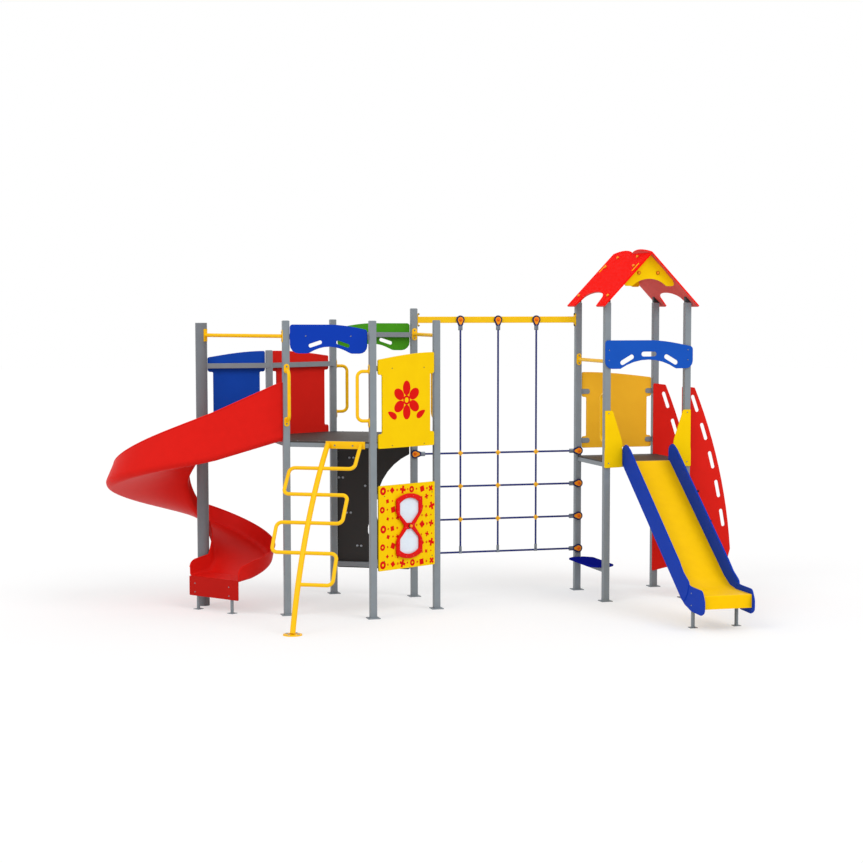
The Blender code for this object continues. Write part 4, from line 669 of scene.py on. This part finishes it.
form = bmesh.new()
steps = ladder["poleSteps"]
sweepTube(form, [onPole(ladder["along"], poleLength * i / steps) for i in range(steps + 1)],
          ladder["pole"], 24, ladderFrame)
near, far = ladder["reach"]
turns, here = [(far, 0.0, 0)], far
for rung in range(ladder["rungs"]):
    level = ladder["first"] + rung * ladder["pitch"]
    turns.append((here, level, 0))
    here = near if here == far else far
    turns.append((here if rung < ladder["rungs"] - 1 else ladder["along"], level, 0))
line, winding = roundedPath(turns, ladder["bend"]), []
for a, b in zip(line, line[1:]):
    pieces = max(1, round((b - a).length / ladder["tubeStep"]))
    winding += [a.lerp(b, i / pieces) for i in range(pieces)]
winding.append(line[-1])
sweepTube(form, [onPole(p.x, p.y) for p in winding], ladder["tube"], 20, ladderFrame)
low, high, bottom, upper = ladder["plate"]
addBlock(form, ladderFrame @ at((low + high) / 2, (bottom + upper) / 2, ladder["plateMiddle"]),
         (high - low, upper - bottom, ladder["plateThick"]), ladder["plateEdge"])
base = ladderFrame @ Vector((ladder["along"], 0, onPole(0, poleLength).z))
addCone(form, at(base.x, base.y), *ladder["disc"], 40)
makePiece("climbing_ladder_tubes", form, yellowSteel, "climbing_ladder")
for along in ladder["plateBolts"]:
    addHead(bolts, ladderFrame @ at(along, ladder["boltLevel"],
                                    ladder["plateMiddle"] + ladder["plateThick"] / 2))
for angle in (45, 135, 225, 315):
    spread = Vector((cos(radians(angle)), sin(radians(angle)), 0)) * ladder["footBolts"]
    addHead(bolts, at(base.x + spread.x, base.y + spread.y, ladder["disc"][2]),
            *ladder["footHead"])
print("ladder")


# rope net: twisted ropes, eyes on the steel, sleeves and clamps

net = {"rope": 0.0096, "lobes": 6, "swell": 0.04, "twist": 0.075, "step": 0.0075,
       "front": 0.010, "start": 0.045,
       "levels": (1.363, 1.047, 0.729, 0.412), "places": (1.140, 1.514, 1.897), "beam": 2.630,
       "eye": 0.033, "eyeTube": 0.0088, "eyeTip": (1.9, 1.4, 0.5), "eyeSlit": 0.005,
       "lining": (0.018, 2.3, 0.0145, 0.006), "liningInset": 0.006,
       "cap": (0.0085, 0.016, 0.009), "sleeve": (0.052, 0.42, 0.0215, 0.048),
       "endSleeve": (0.014, 0.0130, 0.044), "tee": (0.016, 0.0125, 0.032),
       "clamp": (0.033, 0.026, 0.033), "clampEdge": 0.009, "clampHead": (0.007, 0.002),
       "collar": (0.0112, 0.0100, 0.009, 0.014)}
ropeY = corners["right"].y - halfPost - net["front"]


def addRope(form, start, end):
    # A lobed ring is carried along the rope while it turns
    length = (end - start).length
    count = round(length / net["step"])
    ring = bmesh.ops.create_circle(form, segments=net["lobes"] * 3, radius=net["rope"])["verts"]
    for v in ring:
        v.co *= 1 - net["swell"] + net["swell"] * cos(atan2(v.co.y, v.co.x) * net["lobes"])
    bmesh.ops.spin(form, geom=list(ring) + edgesOf(ring), cent=(0, 0, 0), axis=(0, 0, 1),
                   dvec=(0, 0, length / count), angle=2 * pi * length / net["twist"],
                   steps=count, use_duplicate=False)
    bmesh.ops.transform(form, verts=[v for v in form.verts if not v.tag],
                        matrix=Matrix.Translation(start)
                        @ (end - start).to_track_quat("Z", "Y").to_matrix().to_4x4())
    for v in form.verts:
        v.tag = True


form = bmesh.new()
for level in net["levels"]:
    addRope(form, spot(corners["right"].x + net["start"], ropeY, level),
            spot(leftPosts - net["start"], ropeY, level))
for place in net["places"]:
    addRope(form, spot(place, ropeY, net["beam"] - net["start"]),
            spot(place, ropeY, net["levels"][-1]))
bmesh.ops.edgeloop_fill(form, edges=[e for e in form.edges if e.is_boundary])
makePiece("rope_net_ropes", form, blueRope, "rope_net", sharp=180)

eyes = [(spot(x, ropeY, net["beam"]), Vector((0, 0, -1))) for x in net["places"]]
for level in net["levels"]:
    eyes.append((spot(corners["right"].x, ropeY, level), Vector((1, 0, 0))))
    eyes.append((spot(leftPosts, ropeY, level), Vector((-1, 0, 0))))
loops, linings, caps, sleeves, clamps = (bmesh.new() for _ in range(5))
for point, way in eyes:
    # X towards the rope, Z towards the viewer's side of the net
    eyeFrame = turned(way, Vector((0, -1, 0)).cross(way), (0, -1, 0), point)
    bend, (tip, shoulder, wide) = net["eye"], net["eyeTip"]
    neck = [(bend * tip, net["eyeSlit"]), (bend * shoulder, bend * wide)]
    drop = neck + [(bend * cos(radians(a)), bend * sin(radians(a))) for a in range(50, 311, 20)]
    drop += [(x, -y) for x, y in reversed(neck)]
    sweepTube(loops, [(x, y, 0) for x, y in drop], net["eyeTube"], 12, eyeFrame)
    # the lining is a disc pulled out to a point towards the rope
    start, pull, thick, back = net["lining"]
    made = addDisc(linings, bend - net["liningInset"])
    for v in made:
        if v.co.x > start:
            v.co.x += (v.co.x - start) * pull
    whole = list(made) + raiseFaces(linings, facesOf(made), thick)
    bmesh.ops.transform(linings, verts=whole, matrix=eyeFrame @ at(0, 0, -back))
    lift, radius, height = net["cap"]
    addDome(caps, eyeFrame @ at(0, 0, lift), radius, height, 16)
    start, flat, radius, length = net["sleeve"]
    addSleeve(sleeves, eyeFrame @ Matrix.Rotation(pi / 2, 4, "Y") @ at(0, 0, start)
              @ Matrix.Diagonal((flat, 1, 1, 1)), radius, length)
for place in net["places"]:
    bottom = net["levels"][-1]
    lift, radius, length = net["endSleeve"]
    addSleeve(sleeves, at(*spot(place, ropeY, bottom + lift)), radius, length)
    half, radius, length = net["tee"]
    addSleeve(sleeves, at(*spot(place - half, ropeY, bottom))
              @ Matrix.Rotation(pi / 2, 4, "Y"), radius, length)
    for level in net["levels"][:-1]:
        knot = at(*spot(place, ropeY, level))
        addBlock(clamps, knot, net["clamp"], net["clampEdge"], 3)
        wide, slim, length, start = net["collar"]
        for turn in (pi, 3 * pi / 2, 0, pi / 2):
            addCone(clamps, knot @ Matrix.Rotation(turn, 4, "Y") @ at(0, 0, start),
                    wide, slim, length, 16)
        addHead(clamps, knot @ at(0, -net["clamp"][1] / 2) @ Matrix.Rotation(pi / 2, 4, "X"),
                *net["clampHead"])
makePiece("rope_eye_loops", loops, navyPlastic)
makePiece("rope_eye_linings", linings, orangePlastic)
makePiece("rope_eye_caps", caps, darkOrangePlastic, sharp=60)
makePiece("rope_sleeves", sleeves, aluminiumMetal)
makePiece("rope_clamps", clamps, clampPlastic)
print("rope net")


# spinner: the frame, its two panes and the small screws round it

spinner = {"along": 0.413, "level": 0.797, "size": (0.322, 0.585), "waist": 0.116,
           "shoulder": 0.122, "crown": 0.047, "foot": (0.033, 0.027), "band": 0.040,
           "bends": (0.020, 0.055, 0.022), "paneBends": (0.010, 0.035, 0.014),
           "paneScale": (0.92, 0.9), "frameEdge": 0.004, "paneEdge": 0.0008,
           "inset": 0.012, "thick": 0.018, "pane": 0.004, "back": 0.02990, "bore": 0.0105,
           "knob": (0.013, 0.030, 0.011, 0.010), "collar": (0.020, 0.017, 0.008),
           "nut": (0.019, 0.012), "screws": 18, "screw": (0.0045, 0.002)}
hub = sideFrame("front", "frontRight") @ at(spinner["along"], spinner["level"])


def curvedBoard(name, loops, thickness, edge, matrix):
    # A filled flat curve with rounded edges, made a mesh before it is placed
    curve = bpy.data.curves.new(name, "CURVE")
    curve.dimensions = "2D"
    curve.fill_mode = "BOTH"
    curve.extrude = thickness / 2 - edge
    curve.bevel_depth = edge
    curve.bevel_resolution = 1
    curve.offset = -edge
    for loop in loops:
        spline = curve.splines.new("POLY")
        spline.points.add(len(loop) - 1)
        for point, (x, y) in zip(spline.points, loop):
            point.co = (x, y, 0, 1)
        spline.use_cyclic_u = True
    holder = addObject(name, curve)
    bpy.context.view_layer.update()
    form = bmesh.new()
    form.from_mesh(bpy.data.meshes.new_from_object(
        holder.evaluated_get(bpy.context.evaluated_depsgraph_get())))
    bpy.data.objects.remove(holder)
    bmesh.ops.remove_doubles(form, verts=form.verts, dist=1e-6)
    bmesh.ops.transform(form, verts=form.verts, matrix=matrix @ at(0, 0, thickness / 2))
    return form


def lobe(start, half, shoulder, corner, rise, radii, steps=20):
    # Half an hourglass: from the waist out to the shoulder, up to the corner and over the crown
    radius = (half ** 2 + rise ** 2) / (2 * rise)
    low = corner + rise - radius
    first = atan2(corner - low, half)
    angles = [first + (pi - 2 * first) * i / steps for i in range(1, steps)]
    crown = [(radius * cos(angle), low + radius * sin(angle), 0) for angle in angles]
    return [(*start, radii[0]), (half, shoulder, radii[1]), (half, corner, radii[2]), *crown,
            (-half, corner, radii[2]), (-half, shoulder, radii[1])]


def hourglass(inset):
    half, tall = (size / 2 - inset for size in spinner["size"])
    upper = lobe((spinner["waist"] / 2 - inset, 0), half, spinner["shoulder"],
                 tall - spinner["crown"], spinner["crown"], spinner["bends"])
    return closedLoop(upper + [(-x, -y, r) for x, y, r in upper])


def paneLoop(end):
    half, tall = (size / 2 - spinner["band"] for size in spinner["size"])
    foot, level = spinner["foot"]
    shoulder, crown = (spinner[key] * scale for key, scale in zip(
        ("shoulder", "crown"), spinner["paneScale"]))
    bends = spinner["paneBends"]
    loop = lobe((foot, level), half, shoulder, tall - crown, crown, bends)
    loop.append((-foot, level, bends[0]))
    return closedLoop([(end * x, end * y, r) for x, y, r in loop])


def alongLoop(loop, count):
    # Even places round a closed loop
    steps = [hypot(b[0] - a[0], b[1] - a[1]) for a, b in zip(loop, loop[1:] + loop[:1])]
    total, places, walked, index = sum(steps), [], 0, 0
    for i in range(count):
        while walked + steps[index] < total * i / count:
            walked += steps[index]
            index += 1
        places.append(loop[index])
    return places


bore = [(spinner["bore"] * cos(2 * pi * i / 24), spinner["bore"] * sin(2 * pi * i / 24))
        for i in range(24)]
front = spinner["back"] + spinner["thick"] - clear
form = curvedBoard("frame", [hourglass(0), paneLoop(1), paneLoop(-1), bore], spinner["thick"],
                   spinner["frameEdge"], hub @ at(0, 0, spinner["back"] - clear))
makePiece("spinner_frame_moulded", form, spinnerPlastic, "spinner_frame", body="spinner", sharp=50)
form = curvedBoard("window", [hourglass(spinner["inset"]), bore], spinner["pane"],
                   spinner["paneEdge"],
                   hub @ at(0, 0, spinner["back"] - spinner["pane"] - 2 * clear))
makePiece("spinner_window_sheet", form, panePlastic, "spinner_window", body="spinner", sharp=50)
screws = bmesh.new()
for x, y in alongLoop(hourglass(spinner["band"] / 2), spinner["screws"]):
    addHead(screws, hub @ at(x, y, front), *spinner["screw"])
makePiece("spinner_screws", screws, screwPlastic, body="spinner")

# The knob, its dark collar and the nut behind the panel stand still
form = bmesh.new()
radius, height, cap, dome = spinner["knob"]
head = hub @ at(0, 0, front + clear)
addCone(form, head, radius, radius, height - cap, 28)
addDome(form, head @ at(0, 0, height - cap), radius, dome, 28)
radius, height = spinner["nut"]
addCone(form, hub @ at(0, 0, panelBack - clear - height), radius, radius, height, 28)
makePiece("spinner_knob", form, orangePlastic, "spinner_axle")
form = bmesh.new()
addCone(form, head, *spinner["collar"], 32)
makePiece("spinner_collar", form, collarPlastic)
print("spinner")


# printed shapes on the two yellow panels

prints = {"proud": 0.0004, "columns": 6, "rows": 9, "low": (0.100, 0.462),
          "pitch": (0.122, 0.0825), "large": (0.036, 0.019, 0.030, 0.024), "small": (0.011, 0.009),
          "stray": 0.006, "edge": (0.045, 0.757), "hub": 0.06, "turn": 0.7}


def raisePrint(form, faces, matrix):
    verts = list({v for f in faces for v in f.verts})
    bmesh.ops.transform(form, verts=verts + raiseFaces(form, faces, prints["proud"]), matrix=matrix)


def addRing(form, matrix, radius, inner=0.34):
    made = bmesh.ops.create_circle(form, segments=24, radius=radius)["verts"]
    grown = bmesh.ops.extrude_edge_only(form, edges=edgesOf(made))["geom"]
    bmesh.ops.scale(form, verts=pick(grown, BMVert), vec=(inner, inner, 1))
    raisePrint(form, pick(grown, BMFace), matrix)


def addPlus(form, matrix, radius):
    made = bmesh.ops.create_grid(form, x_segments=3, y_segments=3, size=radius)["verts"]
    faces = facesOf(made)
    keep = [f for f in faces if min(abs(c) for c in f.calc_center_median()[:2]) < radius * 0.1]
    bmesh.ops.delete(form, geom=[f for f in faces if f not in keep], context="FACES")
    raisePrint(form, keep, matrix)


def addLozenge(form, matrix, radius):
    raisePrint(form, facesOf(addDisc(form, radius, 4)), matrix)


def addPetal(form, matrix, length, width, taper=0.0):
    # A long disc, slimmer towards its tip if it tapers
    made = addDisc(form, 1)
    for v in made:
        v.co = (v.co.x * length, v.co.y * width * (1 - v.co.x * taper), 0)
    raisePrint(form, facesOf(made), matrix)


form = bmesh.new()
panelFrame = sideFrame("front", "frontRight", panelFace)
drawers, count = (addRing, addPlus, addLozenge), 0
for row in range(prints["rows"]):
    for column in range(prints["columns"]):
        # large shapes stand half a place over in every second row, small ones between them
        for half, sizes in ((0, prints["large"]), (0.5, prints["small"])):
            size = sizes[(row + 2 * column) % len(sizes)]
            x = prints["low"][0] + prints["pitch"][0] * (column + half + (row % 2) / 2)
            y = prints["low"][1] + prints["pitch"][1] * row
            x += prints["stray"] * sin(5 * row + 3 * column)
            y += prints["stray"] * cos(4 * row - 7 * column)
            inside = prints["edge"][0] < x - size and x + size < prints["edge"][1]
            middle = hypot(x - spinner["along"], y - spinner["level"])
            if inside and middle > prints["hub"] + size:
                drawers[count % 3](form, panelFrame @ at(x, y)
                                   @ Matrix.Rotation(prints["turn"] * count, 4, "Z"), size)
                count += 1
makePiece("play_panel_print", form, redPrint)

form = bmesh.new()
flower = {"middle": (0.400, 1.925), "petals": 6, "reach": 0.108, "petal": (0.066, 0.047),
          "ring": (0.0432, 0.55), "leaf": (0.060, 0.028, 0.35), "leafAt": (0.178, -0.128),
          "leafTurn": 0.5}
bloom = panelFrame @ at(*flower["middle"])
for petal in range(flower["petals"]):
    turn = Matrix.Rotation(2 * pi * petal / flower["petals"] + pi / 2, 4, "Z")
    addPetal(form, bloom @ turn @ at(flower["reach"], 0), *flower["petal"])
addRing(form, bloom, *flower["ring"])
for facing, turn in ((-1, pi - flower["leafTurn"]), (1, flower["leafTurn"])):
    x, y = flower["leafAt"]
    addPetal(form, bloom @ at(facing * x, y) @ Matrix.Rotation(turn, 4, "Z"), *flower["leaf"])
makePiece("upper_panel_print", form, redPrint)
print("printed shapes")


# bolts, nuts and climbing holds

def boltsOn(matrix, places, radius=0.0065, height=0.0035, form=bolts):
    for x, y in places:
        addHead(form, matrix @ at(x, y), radius, height)


fasteners = {"panelRows": ((0.12, 1.08), (0.72, 1.08), (0.12, 0.50), (0.72, 0.50)),
             "upperRows": ((0.22, 2.212), (0.62, 2.212), (0.22, 1.527), (0.62, 1.527)),
             "shortRows": ((0.15, 2.212), (0.47, 2.212), (0.15, 1.620), (0.47, 1.620)),
             "headerRow": ((0.195, 2.497), (0.61, 2.497)),
             "towerRows": [(x, z) for x, levels in (
                 (0.008, (2.352, 2.258, 1.765, 1.300)), (0.792, (2.352, 2.258, 1.765, 1.300)))
                 for z in levels],
             "exitRows": [(x, z) for x in (0.1085, 0.5375) for z in (0.240, 0.160)],
             "slideRows": ((0, 0.305), (0, 0.200)),
             "holds": ((0.622, 1.313), (0.728, 1.122), (0.485, 1.047), (0.650, 0.785),
                       (0.547, 0.469)),
             "screw": (0.0052, 0.003), "wallBolt": (0.012, 0.006), "deckBolt": (0.007, 0.003),
             "holdBolts": 0.020, "nut": (0.0095, 0.009), "nutEnd": (0.0055, 0.006, 0.0005),
             "nutShift": (0.008, 0.018, 0.054),
             "exitReach": 0.2186, "slideHalf": 0.2346, "slideShift": 0.007, "slideEnd": -2.087,
             "deckRow": (0.10, 0.30, 0.50, 0.70), "deckLevel": 1.5661, "deckInset": 0.014}
screws = bmesh.new()
boltsOn(panelFrame, fasteners["panelRows"] + fasteners["upperRows"], *fasteners["screw"],
        screws)
# nuts at the ends of the net beam, above and below it
inward, behind, apart = fasteners["nutShift"]
for x, way in ((corners["right"].x + halfPost, 1), (leftPosts - halfPost, -1)):
    for z in (-apart, apart):
        nut = faceFrame(spot(x + way * inward, corners["right"].y - behind, net["beam"] + z),
                        Vector((way, 0, 0)))
        radius, height = fasteners["nut"]
        addCone(screws, nut, radius, radius, height, 6)
        *end, sunk = fasteners["nutEnd"]
        addHead(screws, nut @ at(0, 0, height - sunk), *end)
makePiece("panel_screws", screws, darkMetal)
for first, last, rows in (("frontLeft", "front", "headerRow"), ("right", "back", "headerRow"),
                          ("back", "left", "upperRows"), ("left", "column", "shortRows")):
    boltsOn(sideFrame(first, last, panelFace), fasteners[rows])
boltsOn(sideFrame("towerFrontLeft", "towerFrontRight", halfPost + clear + towers["board"][1]),
        fasteners["towerRows"])
wallInside = sideFrame("right", "back", panelBack) @ Matrix.Rotation(pi, 4, "Y")
wallBolts = bmesh.new()
for number, (x, z) in enumerate(fasteners["holds"]):
    # the third hold is small and has one bolt
    shifts = (0,) if number == 2 else (-fasteners["holdBolts"], fasteners["holdBolts"])
    boltsOn(wallInside, [(-x - shifted, z) for shifted in shifts],
            *fasteners["wallBolt"], wallBolts)
makePiece("wall_bolts", wallBolts, brightMetal)
angle = -pi / 2 - radians(chute["rows"][-1][0])
out = Vector((cos(angle), sin(angle), 0))
ahead = Vector((out.y, -out.x, 0))
exitFace = faceFrame(shift + corners["column"] + ahead * fasteners["exitReach"], ahead)
across = (exitFace.to_3x3() @ Vector((1, 0, 0))).dot(out)
boltsOn(exitFace, [(across * x, z) for x, z in fasteners["exitRows"]])
slideMiddle = roofMiddle - fasteners["slideShift"]
for end in (-1, 1):
    boltsOn(faceFrame(spot(slideMiddle + end * fasteners["slideHalf"], fasteners["slideEnd"]),
                      Vector((end, 0, 0))), fasteners["slideRows"])
for along in fasteners["deckRow"]:
    for first, last in (("frontLeft", "front"), ("front", "frontRight"), ("right", "back")):
        deckFrame = sideFrame(first, last, -fasteners["deckInset"], fasteners["deckLevel"])
        addHead(bolts, at(*(deckFrame @ Vector((along, 0, 0)))), *fasteners["deckBolt"])
makePiece("bolts", bolts, zincMetal)

# climbing holds on the outer face of the wall
hold = {"size": (0.062, 0.040, 0.036), "lift": 0.0012, "swell": 0.16, "dimple": 0.10,
        "waves": (3.0, 2.6, 5.0), "turn": 1.1, "flat": 0.02}
wallOutside = sideFrame("right", "back", panelFace)
first, second, third = hold["waves"]
for number, (x, z) in enumerate(fasteners["holds"]):
    form = bmesh.new()
    made = bmesh.ops.create_icosphere(form, subdivisions=3, radius=1.0)["verts"]
    for v in made:
        v.co *= (1 + hold["swell"] * sin(first * v.co.x + number) * cos(second * v.co.y - number)
                 + hold["dimple"] * sin(third * v.co.x * v.co.y))
        if v.co.z < 0:
            v.co.z *= hold["flat"]
    bmesh.ops.transform(form, verts=made, matrix=wallOutside @ at(x, z, hold["lift"])
                        @ Matrix.Rotation(number * hold["turn"], 4, "Z")
                        @ Matrix.Diagonal((*hold["size"], 1)))
    makePiece("climbing_hold_%d" % (number + 1), form, holdPlastics[number % 4],
              sharp=180)
print("bolts and holds")


# caps and seats of the roof, lids of the posts and pegs of the steps

roof = {"pitch": 46.4, "ridge": 3.265, "caps": ((0.26, 0.065), (0.375, 0.186), (0.40, 0.566)),
        "gableCaps": (-0.106, 0.082), "gableFace": 0.4455, "gableLevel": 3.067,
        "cap": (0.0145, 0.017, 0.003), "gableCap": 0.015, "seat": (0.0175, 0.005),
        "wedge": (0.050, 0.042), "wedgeLift": 0.022, "wedgeGap": 0.001, "wedgeEdge": 0.0015}
pitch = radians(roof["pitch"])
domes, seats = bmesh.new(), bmesh.new()
radius, height, lift = roof["cap"]
for facing in (-1, 1):
    down = Vector((facing * cos(pitch), 0, -sin(pitch)))
    out = Vector((facing * sin(pitch), 0, cos(pitch)))
    for y, distance in roof["caps"]:
        for deep in (-y, y):
            slope = turned(down, out.cross(down), out,
                           spot(roofMiddle, deep, roof["ridge"]) + down * distance)
            addDome(domes, slope @ at(0, 0, lift), radius, height)
            addSleeve(seats, slope, *roof["seat"])
for x in roof["gableCaps"]:
    for way in (-1, 1):
        cap = faceFrame(spot(roofMiddle + x, way * roof["gableFace"], roof["gableLevel"]),
                        Vector((0, way, 0)))
        addDome(domes, cap @ at(0, 0, lift), radius, roof["gableCap"])
        addSleeve(seats, cap, *roof["seat"])
# the seats' dark brown ring is a painted shadow round each cap
makePiece("roof_cap_seats", seats, capShadowPlastic)
makePiece("roof_caps", domes, capPlastic, sharp=60)

wedges = bmesh.new()
wide, tall = roof["wedge"]
for corner, node, facing in (
        ("towerFrontLeft", "tower_post_front_left", -1),
        ("towerFrontRight", "tower_post_front_right", 1),
        ("towerBackLeft", "tower_post_back_left", -1),
        ("towerBackRight", "tower_post_back_right", 1)):
    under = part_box(node)[1].z
    place = shift + corners[corner]
    made = bmesh.ops.create_cube(
        wedges, size=1, matrix=at(place.x, place.y, under + roof["wedgeLift"])
        @ Matrix.Diagonal((wide, wide, tall, 1)))["verts"]
    for v in made:
        if v.co.z > under + roof["wedgeLift"]:
            v.co.z = (under + tan(pitch) * (halfPost - facing * (v.co.x - place.x))
                      - roof["wedgeGap"])
    soften(wedges, edgesOf(made), roof["wedgeEdge"])
makePiece("roof_seats", wedges, darkPlastic)

lid = {"size": (0.050, 0.050, 0.003), "lift": 0.0013, "edge": 0.001,
       "tops": {"frontLeft": 2.63, "front": 2.63, "frontRight": 2.63, "back": 2.63,
                "right": 2.735, "left": 2.35}}
lids = bmesh.new()
for corner, height in lid["tops"].items():
    addBlock(lids, Matrix.Translation(shift + corners[corner]) @ at(0, 0, height + lid["lift"]),
             lid["size"], lid["edge"])
makePiece("post_lids", lids, greySteel)

peg = {"steps": ((3.245, 1.010), (3.3785, 0.7215), (3.512, 0.4400)), "apart": 0.030,
       "face": 0.3700, "base": (0.011, 0.010, 0.008), "head": (0.007, 0.010)}
pegs = bmesh.new()
for x, z in peg["steps"]:
    for facing in (-1, 1):
        for shifted in (-peg["apart"], peg["apart"]):
            foot = faceFrame(spot(x + shifted, facing * peg["face"], z), Vector((0, facing, 0)))
            addCone(pegs, foot, *peg["base"], 16)
            addHead(pegs, foot @ at(0, 0, peg["base"][2]), *peg["head"])
makePiece("step_pegs", pegs, darkPlastic)
print("caps, lids and pegs")


# floor, light and world

studio = {"floorRadius": 70, "floorShown": 0.50, "floorGlow": 0.475, "floorBounce": 0.80,
          "sky": 0.76, "spread": 32, "keys": ((0.90, 46, 34), (0.64, 50, -62))}


def shownNode(tree):
    # 1 for what the eye, a reflection or a clear sheet shows, 0 for light on the object
    rays = addNode(tree, "LightPath")
    seen = addNode(tree, "Math", {"operation": "MAXIMUM"},
                   {0: (rays, "Is Camera Ray"), 1: (rays, "Is Glossy Ray")})
    return addNode(tree, "Math", {"operation": "MAXIMUM"},
                   {0: (seen, "Value"), 1: (rays, "Is Transmission Ray")})


floorForm = bmesh.new()
addDisc(floorForm, studio["floorRadius"], 64)
floorMesh = bpy.data.meshes.new("floor")
floorForm.to_mesh(floorMesh)
floorForm.free()
addObject("floor", floorMesh)
floorMaterial, tree = newMaterial("pale studio floor")
plain = addNode(tree, "BsdfDiffuse", {"Color": (*[studio["floorBounce"]] * 3, 1)})
shown = addNode(tree, "BsdfDiffuse", {"Color": (*[studio["floorShown"]] * 3, 1)})
glow = addNode(tree, "Emission", {"Strength": studio["floorGlow"]})
bright = addNode(tree, "AddShader", None, {0: (shown, "BSDF"), 1: (glow, "Emission")})
both = addNode(tree, "MixShader", None,
               {0: (shownNode(tree), "Value"), 1: (plain, "BSDF"), 2: (bright, "Shader")})
addNode(tree, "OutputMaterial", None, {"Surface": (both, "Shader")})
floorMesh.materials.append(floorMaterial)

world = bpy.data.worlds.new("studio")
bpy.context.scene.world = world
world.use_nodes = True
tree = world.node_tree
tree.nodes.clear()
soft = addNode(tree, "Background", {"Color": (1, 1, 1, 1), "Strength": studio["sky"]})
white = addNode(tree, "Background", {"Color": (1, 1, 1, 1), "Strength": 1.0})
both = addNode(tree, "MixShader", None,
               {0: (shownNode(tree), "Value"), 1: (soft, "Background"), 2: (white, "Background")})
addNode(tree, "OutputWorld", None, {"Surface": (both, "Shader")})

for number, (energy, tilt, turn) in enumerate(studio["keys"]):
    keyData = bpy.data.lights.new("key %d" % number, "SUN")
    keyData.energy = energy
    keyData.angle = radians(studio["spread"])
    key = addObject("key %d" % number, keyData)
    key.rotation_euler = (radians(tilt), 0, radians(turn))
bpy.context.scene.view_settings.view_transform = "Standard"
print("floor and light")
